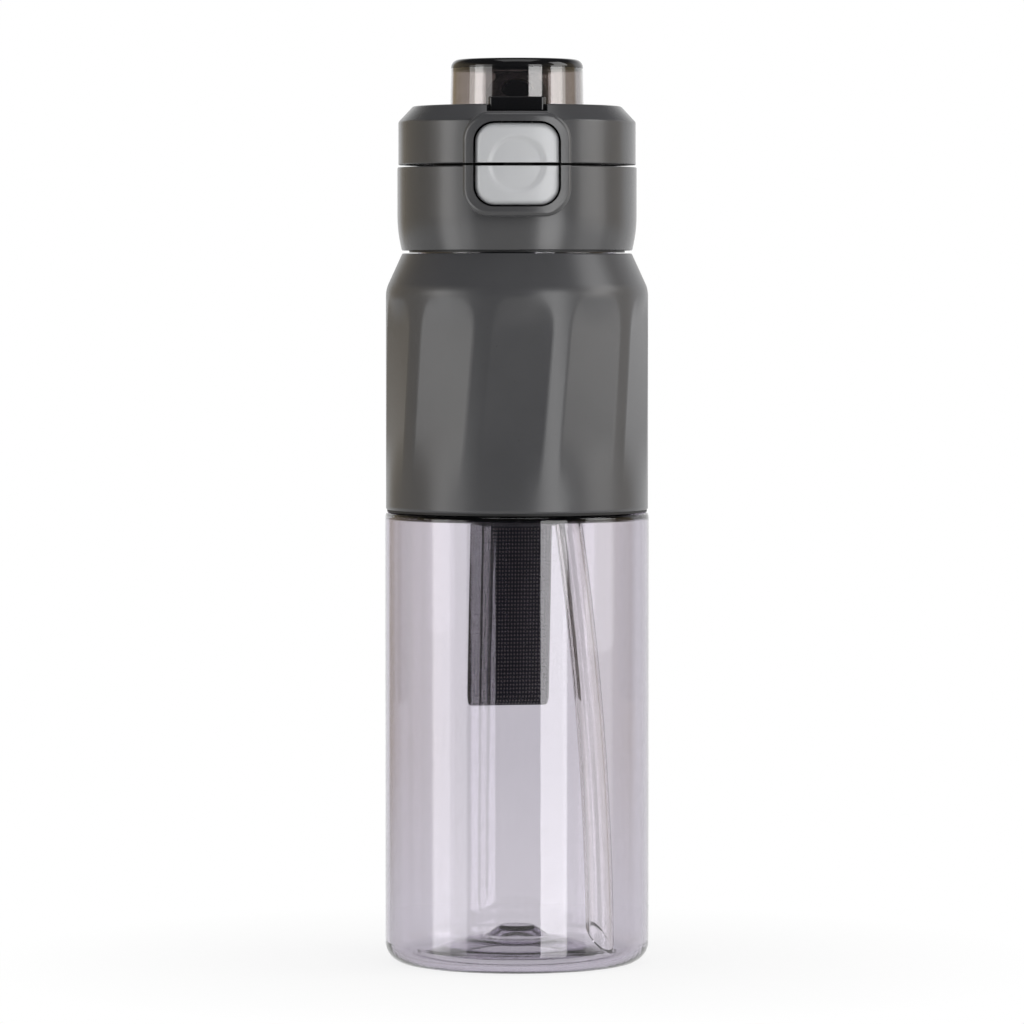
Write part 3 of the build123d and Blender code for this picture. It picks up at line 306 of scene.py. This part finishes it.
# Grip sleeve: injection-moulded grey polypropylene, pressed onto the bottle's upper half. Ten scooped
# flutes lean round it, each with a crisp right edge and a soft left one, and a fine spark-eroded grain
# gives it a matt look with a soft sparkle where a softbox grazes it.
sleeve_dark = "#404042"
sleeve_light = "#464648"
sleeve_hem_z, sleeve_knee_z, sleeve_top_z = 0.1341, 0.199, 0.2096
sleeve_r, sleeve_in_r, sleeve_top_r, sleeve_top_in_r = 0.0387, 0.03675, 0.034, 0.0325
sleeve_knee_r = 0.009
sleeve_edge_r = 0.0003
# Points of the rounded top edge, out and down from its corner, in shares of the edge's radius
sleeve_top_round = ((0.3, 1.6), (-0.3, 0.4), (-1.0, 0.0))
flute_count, front_flutes = 10, 2
flute_span_deg = 27.0
flute_edge_deg = 16.0
flute_front_pitch_deg = 35.0
flute_edge_z = 0.188
flute_lean_deg_per_m = 142.0
flute_flatness = 0.92
flute_top_z = 0.1966
flute_right_corner, flute_left_corner = 0.36, 0.24
flute_corner_h = 0.0062
flute_rise = 0.009
flute_full_z = 0.160
flute_end_z = 0.1365
# The flutes cut only what is less than this inside the sleeve's outer radius
flute_reach = 0.0012
wall_steps, knee_steps = 84, 8
flute_steps, rib_steps = 30, 6


def ease(low, high, value):
    """Rise smoothly from 0 at low to 1 at high."""
    share = min(1.0, max(0.0, (value - low) / (high - low)))
    return share * share * (3 - 2 * share)


def flute(share, height):
    """Depth of a flute at a share of its width from its right edge, and at a height: nearly a flat facet."""
    half = math.radians(flute_span_deg / 2)
    flat = sleeve_r * (1 - math.cos(half) / math.cos(half * (1 - 2 * share)))
    corner = max(1 - share / flute_right_corner, (share - 1) / flute_left_corner + 1, 0.0)
    arch = flute_top_z - flute_corner_h * (1 - math.sqrt(1 - corner ** 2))
    down = math.sin(math.pi / 2 * min(1.0, max(0.0, (arch - height) / flute_rise)))
    return flute_flatness * flat * down * ease(flute_end_z, flute_full_z, height)


def ring_faces(rings, around, closed=True, turned=False):
    """Join rings of points by quads, closed round or open at its ends, and turned where rings run back."""
    faces = []
    for i in range(rings if closed else rings - 1):
        for j in range(around):
            k, m = (i + 1) % rings, (j + 1) % around
            here, beside, past, next_ring = i * around + j, i * around + m, k * around + m, k * around + j
            faces.append((here, next_ring, past, beside) if turned else (here, beside, past, next_ring))
    return faces


def mesh_piece(name, verts, faces, *materials):
    """Make a smooth piece of these points and faces, with these materials."""
    mesh = bpy.data.meshes.new(name)
    mesh.from_pydata(verts, [], faces)
    mesh.shade_smooth()
    for material in materials:
        mesh.materials.append(material)
    piece = bpy.data.objects.new(name, mesh)
    scene.collection.objects.link(piece)
    return piece


knee_turn = math.atan2(sleeve_r - sleeve_top_r, sleeve_top_z - sleeve_knee_z)
knee_back = sleeve_knee_r * math.tan(knee_turn / 2)
wall_low_z, wall_high_z = sleeve_hem_z + sleeve_edge_r, sleeve_knee_z - knee_back
outside = [(sleeve_r - sleeve_edge_r, sleeve_hem_z), (sleeve_r, wall_low_z)]
outside += [(sleeve_r, wall_low_z + (wall_high_z - wall_low_z) * i / wall_steps)
            for i in range(1, wall_steps + 1)]
for i in range(1, knee_steps + 1):
    turn = knee_turn * i / knee_steps
    outside.append((sleeve_r - sleeve_knee_r * (1 - math.cos(turn)),
                    wall_high_z + sleeve_knee_r * math.sin(turn)))
outside += [(sleeve_top_r + out * sleeve_edge_r, sleeve_top_z - down * sleeve_edge_r)
            for out, down in sleeve_top_round]
inside = [(sleeve_top_in_r, sleeve_top_z), (sleeve_in_r, sleeve_knee_z), (sleeve_in_r, sleeve_hem_z)]
edges = [flute_edge_deg + flute_front_pitch_deg * k for k in range(-front_flutes, front_flutes + 1)]
back_pitch = (360 - edges[-1] + edges[0]) / (flute_count - len(edges) + 1)
edges += [edges[-1] + back_pitch * k for k in range(1, flute_count - len(edges) + 1)]
columns = []
for edge_deg, next_deg in zip(edges, edges[1:] + [edges[0] + 360]):
    columns += [(edge_deg - flute_span_deg * (1 - i / flute_steps), 1 - i / flute_steps)
                for i in range(flute_steps + 1)]
    columns += [(edge_deg + (next_deg - flute_span_deg - edge_deg) * i / rib_steps, 0.0)
                for i in range(1, rib_steps)]
verts = []
for radius, height in outside + inside:
    for column_deg, share in columns:
        angle = math.radians(column_deg - flute_lean_deg_per_m * (flute_edge_z - height))
        sunk = flute(share, height) if radius > sleeve_r - flute_reach else 0.0
        verts.append(((radius - sunk) * math.sin(angle), -(radius - sunk) * math.cos(angle), height))
matt_grey_pp = moulded(
    "grey_polypropylene_fine_grain", sleeve_dark, sleeve_light, rough=(0.25, 0.36),
    patch_mm=9.0, grain_mm=0.4, grain_depth=0.000012, ior=1.5)
sleeve = mesh_piece("fluted_sleeve", verts, ring_faces(len(outside + inside), len(columns)), matt_grey_pp)
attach(sleeve, "bottle")
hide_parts("grip_sleeve")

# Lid: the screw collar and the flip cap on its back hinge, both injection moulded of the sleeve's grey
# polypropylene. Their tool was finer than the sleeve's, so they are satin, and softboxes show in them as
# soft bands.
lid_dark = "#404041"
lid_light = "#454547"
satin_grey_pp = moulded(
    "grey_polypropylene_satin", lid_dark, lid_light, rough=(0.18, 0.28),
    patch_mm=12.0, grain_mm=0.35, grain_depth=0.000016, ior=1.5)
for shell in ("collar_shell", "cap_shell"):
    dress(shell, satin_grey_pp)

# Inner mouldings: the lid's threaded core, deck and liner, the tube that joins straw and spout, and the fruit
# basket with its tube and floor, all injection moulded of dark grey polypropylene and clipped or screwed
# together. Their tools were left coarser than the shells', so their satin is duller.
core_dark = "#2a2a2b"
core_light = "#343436"
# This material also paints the buttons' arm and stem dark, a painted shade for the gap between the buttons
dark_pp_and_painted_gap_shade = moulded(
    "dark_polypropylene_satin_and_painted_gap_shade", core_dark, core_light, rough=(0.35, 0.5),
    patch_mm=8.0, grain_mm=0.4, grain_depth=0.000006, ior=1.5)
for inner in ("lid_core", "basket_tube", "mouth_plate", "cap_liner", "spout_port", "infuser_basket",
              "infuser_base"):
    dress(inner, dark_pp_and_painted_gap_shade)

# Straw: extruded clear polypropylene, slightly brown, bent by heat, cut at a slant at its foot and pushed
# into its silicone sleeve. Its thin wall shows mostly as a bright line down each edge.
straw_smoke = "#ad957c"
clear_straw = clear_plastic(
    "clear_polypropylene_extruded", haze=0.03, wave_mm=5.0, wave_depth=0.00001, ior=1.49,
    smoke=straw_smoke, density=56.0, tint="#cfcac4")
dress("straw", clear_straw)

# Pins, hinge springs and the strap's bar: drawn stainless steel, pressed through their knuckles. Faint draw
# lines blur its shine; they are drawn coarser than the real ones, which are too fine to show.
steel_light = "#b9bbbd"
steel_dark = "#8e9092"
draw_line_mm = 0.5
steel_rough = (0.2, 0.36)
steel, tree, shader = start_material("stainless_steel_drawn")
place = add_node(tree, "ShaderNodeTexCoord")
lines = add_node(tree, "ShaderNodeTexNoise", {"Scale": 1000 / draw_line_mm, "Detail": 2.0},
                 {"Vector": place.outputs["Object"]})
shade = add_node(tree, "ShaderNodeMix", {"data_type": "RGBA", 6: linear(steel_dark), 7: linear(steel_light)},
                 {"Factor": lines.outputs[0]})
gloss = add_node(tree, "ShaderNodeMapRange", {"To Min": steel_rough[0], "To Max": steel_rough[1]},
                 {"Value": lines.outputs[0]})
set_node(tree, shader, {"Metallic": 1.0},
         {"Base Color": shade.outputs[2], "Roughness": gloss.outputs["Result"]})
for wire in ("hinge_pin", "cap_spring", "strap_bar", "cover_pin", "cover_spring"):
    dress(wire, steel)

# Button springs: cold-coiled stainless wire, one behind each button, seated on the wall behind it.
spring_wire_r = 0.00025
turn_steps, wire_sides = 20, 8
lower_turns, upper_turns = 2.25, 5.0


def button_spring(name, node, turns):
    """Make a coil in the place of this node, and give it with the middle of its inner end and its length."""
    low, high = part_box(node)
    centre_x, centre_z = (low[0] + high[0]) / 2, (low[2] + high[2]) / 2
    coil_r = (high[0] - low[0]) / 2 - spring_wire_r
    front_y, rise = low[1] + spring_wire_r, high[1] - low[1] - 2 * spring_wire_r
    count = round(turns * turn_steps)
    verts = []
    for i in range(count + 1):
        turn = 2 * math.pi * turns * i / count
        for j in range(wire_sides):
            side = 2 * math.pi * j / wire_sides
            radius = coil_r + spring_wire_r * math.cos(side)
            depth = front_y + rise * i / count + spring_wire_r * math.sin(side)
            verts.append((centre_x + radius * math.cos(turn), depth, centre_z + radius * math.sin(turn)))
    faces = ring_faces(count + 1, wire_sides, closed=False)
    faces.append(tuple(reversed(range(wire_sides))))
    faces.append(tuple(count * wire_sides + j for j in range(wire_sides)))
    return mesh_piece(name, verts, faces, steel), (centre_x, high[1], centre_z), high[1] - low[1]


for side, body, turns in (("lower", "collar", lower_turns), ("upper", "flip_cap", upper_turns)):
    coil, seat, length = button_spring(side + "_button_coil", side + "_button_spring", turns)
    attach(coil, body)
    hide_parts(side + "_button_spring")
    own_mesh(coil)

# Buttons: two light grey ABS mouldings that share one rounded frame, with pillowy edges and a round dish for
# the thumb across their joint. Their satin takes soft highlights. An arm behind the lower one latches the
# flip cap, and a stem behind the upper one frees the dust cover; both are painted dark, a painted shade that
# keeps the gap between the buttons black.
button_half_w, button_low_z, button_high_z = 0.0122, 0.2235, 0.2472
button_corner_r = 0.0056
button_face_r, button_back_r = 0.0382, 0.0358
button_split_z, button_split_gap = 0.2353, 0.0009
button_edge_r, button_joint_r = 0.0017, 0.0003
dish_low_r, dish_high_r, dish_depth = 0.0070, 0.0086, 0.0008
button_rows, button_columns = 48, 56
arm_half_w = 0.004
# Depth and height of the corners of the arm and the stem, seen from the side
arm_outline = ((-0.0370, 0.2313), (-0.0288, 0.2313), (-0.0288, 0.2394), (-0.0306, 0.2387), (-0.0306, 0.2380),
               (-0.0302, 0.2380), (-0.0302, 0.2327), (-0.0370, 0.2327))
stem_outline = ((-0.0370, 0.2405), (-0.0275, 0.2405), (-0.0275, 0.2460), (-0.0370, 0.2460))
button_dark = "#b8b9bb"
button_light = "#bebfc1"
light_abs = moulded(
    "light_grey_abs_satin", button_dark, button_light, rough=(0.26, 0.36),
    patch_mm=8.0, grain_mm=0.35, grain_depth=0.000004, ior=1.53)


def round_over(distance, radius):
    """Give how far a surface drops at this distance in from its rounded edge."""
    return radius * (1 - math.sqrt(1 - (1 - min(1.0, max(0.0, distance) / radius)) ** 2))


def button_moulding(name, low_z, high_z, joint_z, side_outline):
    """Make one button: a pillowy curved face, walls back to its rear, and the arm or stem behind it."""
    half_h, middle_z = (button_high_z - button_low_z) / 2, (button_high_z + button_low_z) / 2
    corner = button_corner_r

    def half_width(z):
        """Give half the button's width at a height."""
        past = abs(z - middle_z) - (half_h - corner)
        return button_half_w - (corner - math.sqrt(max(0.0, corner ** 2 - past ** 2)) if past > 0 else 0.0)

    def drop(x, z):
        """Give how far the face lies inside its cylinder at a place."""
        over_x, over_z = abs(x) - (button_half_w - corner), abs(z - middle_z) - (half_h - corner)
        inside = corner - math.hypot(max(over_x, 0), max(over_z, 0)) - min(max(over_x, over_z), 0)
        sunk = round_over(inside, button_edge_r) + round_over(abs(z - joint_z), button_joint_r)
        sunk += dish_depth * (1 - ease(dish_low_r, dish_high_r, math.hypot(x, z - button_split_z)))
        return min(sunk, button_edge_r)

    rows = [low_z + (high_z - low_z) * (1 - math.cos(math.pi * i / button_rows)) / 2
            for i in range(button_rows + 1)]
    spread = [math.sin(math.pi / 2 * (2 * i / button_columns - 1)) for i in range(button_columns + 1)]
    verts, faces = [], []
    for back in (False, True):
        for z in rows:
            for share in spread:
                x = share * half_width(z)
                radius = button_back_r if back else button_face_r - drop(x, z)
                verts.append((x, -math.sqrt(radius ** 2 - x ** 2), z))
    across, up = len(spread), len(rows)
    for i in range(up - 1):
        for j in range(across - 1):
            a = i * across + j
            b = a + up * across
            faces += [(a, a + 1, a + across + 1, a + across), (b, b + across, b + across + 1, b + 1)]
    curved = len(faces)
    rim = list(range(across)) + [i * across + across - 1 for i in range(1, up)]
    rim += [(up - 1) * across + j for j in range(across - 2, -1, -1)]
    rim += [i * across for i in range(up - 2, 0, -1)]
    for a, b in zip(rim, rim[1:] + rim[:1]):
        faces.append((a, a + up * across, b + up * across, b))
    light_count, base, count = len(faces), len(verts), len(side_outline)
    verts += [(side * arm_half_w, y, z) for side in (-1, 1) for y, z in side_outline]
    faces += [tuple(base + i for i in range(count)), tuple(base + count + i for i in reversed(range(count)))]
    for i in range(count):
        j = (i + 1) % count
        faces.append((base + i, base + count + i, base + count + j, base + j))
    # The arm or stem takes the dark material: a painted shade, so the gap between the buttons shows black
    piece = mesh_piece(name, verts, faces, light_abs, dark_pp_and_painted_gap_shade)
    for polygon in piece.data.polygons:
        polygon.use_smooth = polygon.index < curved
        polygon.material_index = 1 if polygon.index >= light_count else 0
    return piece


joint_low_z, joint_high_z = button_split_z - button_split_gap / 2, button_split_z + button_split_gap / 2
lower_button = button_moulding(
    "lower_button_moulding", button_low_z, joint_low_z, joint_low_z, arm_outline)
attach(lower_button, "lower_button")
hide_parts("lower_button")
upper_button = button_moulding(
    "upper_button_moulding", joint_high_z, button_high_z, joint_high_z, stem_outline)
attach(upper_button, "upper_button")
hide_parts("upper_button")

# Spout, its cradle and the dust cover's tab: injection-moulded polypropylene. The spout is dark grey and
# satin, with pale painted light in its bore for the light that shows through it from behind, and turns
# between the cradle's cheeks. The cheeks and the tab are black, and polished, so they mirror the softboxes.
gloss_dark, gloss_light = "#0b0b0c", "#101012"
spout_dark, spout_light = "#474443", "#504c4a"
# Painted light: a pale colour in the bore, for the light that shows through it from behind
bore_painted_light = "#b5aca4"
spout_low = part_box("spout")[0]
bore_rise = 0.0047
bore_back_y = 0.0045
bore_lip = 0.0001
bore_half_w, bore_half_h = 0.00475, 0.00285
bore_centre = (0.0, (spout_low[1] + bore_back_y) / 2 + bore_lip, spout_low[2] + bore_rise)
bore_half = (bore_half_w, (bore_back_y - spout_low[1]) / 2, bore_half_h)
gloss_black_pp = moulded(
    "black_polypropylene_polished", gloss_dark, gloss_light, rough=(0.06, 0.12),
    patch_mm=8.0, grain_mm=2.0, grain_depth=0.000002, ior=1.5)
for black in ("cover_latch", "spout_cradle"):
    dress(black, gloss_black_pp)
grey_spout_pp = moulded(
    "dark_grey_polypropylene_satin", spout_dark, spout_light, rough=(0.22, 0.34),
    patch_mm=6.0, grain_mm=0.5, grain_depth=0.000004, ior=1.5)
# The painted light covers the part of the spout's surface inside a box round its bore
tree = grey_spout_pp.node_tree
shader = tree.nodes["Principled BSDF"]
outer = shader.inputs["Base Color"].links[0].from_socket
place = add_node(tree, "ShaderNodeTexCoord")
away = add_node(tree, "ShaderNodeVectorMath", {"operation": "SUBTRACT", 1: bore_centre},
                {0: place.outputs["Object"]})
away = add_node(tree, "ShaderNodeVectorMath", {"operation": "DIVIDE", 1: bore_half}, {0: away.outputs[0]})
away = add_node(tree, "ShaderNodeVectorMath", {"operation": "ABSOLUTE"}, {0: away.outputs[0]})
sides = add_node(tree, "ShaderNodeSeparateXYZ", links={0: away.outputs[0]})
furthest = add_node(tree, "ShaderNodeMath", {"operation": "MAXIMUM"},
                    {0: sides.outputs["X"], 1: sides.outputs["Z"]})
furthest = add_node(tree, "ShaderNodeMath", {"operation": "MAXIMUM"},
                    {0: furthest.outputs[0], 1: sides.outputs["Y"]})
in_bore = add_node(tree, "ShaderNodeMath", {"operation": "LESS_THAN", 1: 1.0}, {0: furthest.outputs[0]})
spout_and_painted_bore_light = add_node(tree, "ShaderNodeMix", {"data_type": "RGBA", 7: linear(bore_painted_light)},
                       {"Factor": in_bore.outputs[0], 6: outer})
tree.links.new(spout_and_painted_bore_light.outputs[2], shader.inputs["Base Color"])
dress("spout", grey_spout_pp)

# Dust cover: a clear smoky copolyester moulding with a flat arm down its back to its hinge. Its top plate is
# painted polished black, a painted shade for the dark band that the clear plate shows edge-on. Its hard coat
# makes the softboxes show as crisp bands.
cover_smoke = "#6f4b45"
coat_rough = 0.02
plate_low_z = 0.26405
# Painted shade: the top plate is coloured polished black in place of clear, for the dark it shows edge-on
plate_painted_dark = "#0c0c0d"
plate_painted_dark_swirl = "#111112"
plate_rough = 0.08
plate_ior = 1.5
swirl_mm = 9.0
clear_cover = clear_plastic(
    "clear_copolyester_injection_moulded", haze=0.012, wave_mm=12.0, wave_depth=0.00001, ior=1.58,
    smoke=cover_smoke, density=560.0, tint="#d8d4d1")
tree = clear_cover.node_tree
set_node(tree, tree.nodes["Principled BSDF"], {"Coat Weight": 1.0, "Coat Roughness": coat_rough})
output = tree.nodes["Material Output"]
skirt = output.inputs["Surface"].links[0].from_socket
place = add_node(tree, "ShaderNodeTexCoord")
level = add_node(tree, "ShaderNodeSeparateXYZ", links={0: place.outputs["Object"]})
# Above this height the cover is painted black, a painted shade for its clear plate seen edge-on
in_painted_dark_plate = add_node(tree, "ShaderNodeMath", {"operation": "GREATER_THAN", 1: plate_low_z},
                    {0: level.outputs["Z"]})
swirl = add_node(tree, "ShaderNodeTexNoise", {"Scale": 1000 / swirl_mm}, {"Vector": place.outputs["Object"]})
plate_painted_dark_mix = add_node(tree, "ShaderNodeMix",
                       {"data_type": "RGBA", 6: linear(plate_painted_dark), 7: linear(plate_painted_dark_swirl)},
                       {"Factor": swirl.outputs[0]})
plate = add_node(tree, "ShaderNodeBsdfPrincipled", {"Roughness": plate_rough, "IOR": plate_ior},
                 {"Base Color": plate_painted_dark_mix.outputs[2]})
cover = add_node(tree, "ShaderNodeMixShader", links={0: in_painted_dark_plate.outputs[0], 1: skirt, 2: plate.outputs[0]})
tree.links.new(cover.outputs[0], output.inputs["Surface"])
dress("dust_cover", clear_cover)

# Carry strap: 25 mm black polyester webbing, plain woven, sewn into one loop over the steel bar. It hangs
# behind the bottle, leaning and turning a little towards the bottle's left as it goes down. The crowns of its
# yarns are painted lighter, a painted highlight that shows as a lattice of fine dots.
web_w, web_t = 0.025, 0.0013
web_bar_y, web_bar_z = 0.0434, 0.222
web_gap = 0.0025
web_low_z = 0.0729
web_lean_deg = 1.1
web_turn_deg = 12.0
web_turn_drop = 0.01
web_round_from = 0.93
web_stations = (0, 0.25, 0.5, 0.75, web_round_from, 0.985, 1)
warp_mm, weft_mm, fibre_mm = 1.0, 1.15, 0.9
selvedge_mm = 0.09
web_steps = 1072
web_black = "#1b1b1b"
# Painted highlight: the lighter colour on the crowns of the yarns
web_painted_crown_highlight = "#7a736c"
fibre_share = 0.25
crown_highlight_low, crown_highlight_high = 0.4, 1.1
web_rough_low, web_rough_high, crown_height = 0.42, 0.8, 1.2
weave_depth = 0.0001
web_ior = 1.5

bend_r = web_gap + web_t / 2
low_centre_z = web_low_z + web_gap + web_t
leg = web_bar_z - low_centre_z
bend = math.pi * bend_r
loop_length = 2 * leg + 2 * bend


def webbing_place(along):
    """Give the depth, height and outward normal of the loop's middle line at a length along it."""
    along %= loop_length
    if along < leg:
        return -bend_r, web_bar_z - along, -1.0, 0.0
    along -= leg
    if along < bend:
        turn = along / bend_r
        out_y, out_z = -math.cos(turn), -math.sin(turn)
        return bend_r * out_y, low_centre_z + bend_r * out_z, out_y, out_z
    along -= bend
    if along < leg:
        return bend_r, low_centre_z + along, 1.0, 0.0
    turn = (along - leg) / bend_r
    out_y, out_z = math.cos(turn), math.sin(turn)
    return bend_r * out_y, web_bar_z + bend_r * out_z, out_y, out_z


across = [-x for x in web_stations[:0:-1]] + list(web_stations)
rounding = [max(0.0, (abs(x) - web_round_from) / (1 - web_round_from)) for x in across]
section = [(x, math.sqrt(1 - share ** 2)) for x, share in zip(across, rounding)]
section += [(x, -n) for x, n in section[-2:0:-1]]
ring = len(section)
lean = math.tan(math.radians(web_lean_deg))
verts, weave = [], []
for i in range(web_steps):
    along = loop_length * i / web_steps
    depth, height, out_y, out_z = webbing_place(along)
    twist = math.radians(web_turn_deg) * ease(web_bar_z - web_turn_drop, low_centre_z, height)
    edge = web_w / 2 + selvedge_mm / 1000 * (math.cos(2 * math.pi * along * 1000 / weft_mm) - 1)
    for x, n in section:
        side, back = x * edge, depth + n * web_t / 2 * out_y
        verts.append((side * math.cos(twist) - back * math.sin(twist) - lean * (web_bar_z - height),
                      web_bar_y + side * math.sin(twist) + back * math.cos(twist),
                      height + n * web_t / 2 * out_z))
        weave.append((x * web_w / 2, along))

webbing, tree, shader = start_material("black_polyester_webbing_woven")
flat_place = add_node(tree, "ShaderNodeUVMap", {"uv_map": "weave"})
yarn = add_node(tree, "ShaderNodeVectorMath",
                {"operation": "MULTIPLY", 1: (2000 * math.pi / warp_mm, 2000 * math.pi / weft_mm, 0)},
                {0: flat_place.outputs[0]})
yarn = add_node(tree, "ShaderNodeSeparateXYZ", links={0: yarn.outputs[0]})
crowns = []
for run in ("X", "Y"):
    wave = add_node(tree, "ShaderNodeMath", {"operation": "COSINE"}, {0: yarn.outputs[run]})
    crowns.append(add_node(tree, "ShaderNodeMapRange", {"From Min": -1.0}, {"Value": wave.outputs[0]}))
over = add_node(tree, "ShaderNodeMath", {"operation": "MULTIPLY"},
                {0: crowns[0].outputs["Result"], 1: crowns[1].outputs["Result"]})
place = add_node(tree, "ShaderNodeTexCoord")
fibre = add_node(tree, "ShaderNodeTexNoise", {"Scale": 1000 / fibre_mm, "Detail": 2.0},
                 {"Vector": place.outputs["Object"]})
height = add_node(tree, "ShaderNodeMath", {"operation": "MULTIPLY_ADD", 1: fibre_share},
                  {0: fibre.outputs[0], 2: over.outputs[0]})
# Where the yarns' crowns stand highest they are painted lighter, a painted highlight
painted_crown_highlight = add_node(tree, "ShaderNodeMapRange", {"From Min": crown_highlight_low, "From Max": crown_highlight_high},
                  {"Value": height.outputs[0]})
shade = add_node(tree, "ShaderNodeMix", {"data_type": "RGBA", 6: linear(web_black), 7: linear(web_painted_crown_highlight)},
                 {"Factor": painted_crown_highlight.outputs["Result"]})
gloss = add_node(tree, "ShaderNodeMapRange",
                 {"From Max": crown_height, "To Min": web_rough_high, "To Max": web_rough_low},
                 {"Value": height.outputs[0]})
bump = add_node(tree, "ShaderNodeBump", {"Strength": 1.0, "Distance": weave_depth},
                {"Height": height.outputs[0]})
set_node(tree, shader, {"IOR": web_ior},
         {"Base Color": shade.outputs[2], "Roughness": gloss.outputs["Result"],
          "Normal": bump.outputs["Normal"]})
web = mesh_piece("webbing_loop", verts, ring_faces(web_steps, ring, turned=True), webbing)
weave_map = web.data.uv_layers.new(name="weave")
for face in web.data.polygons:
    last = max(face.vertices) - min(face.vertices) > ring * 2
    for corner in face.loop_indices:
        u, v = weave[web.data.loops[corner].vertex_index]
        weave_map.data[corner].uv = (u, v + loop_length if last and v < loop_length / 2 else v)
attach(web, "strap")
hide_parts("carry_strap")
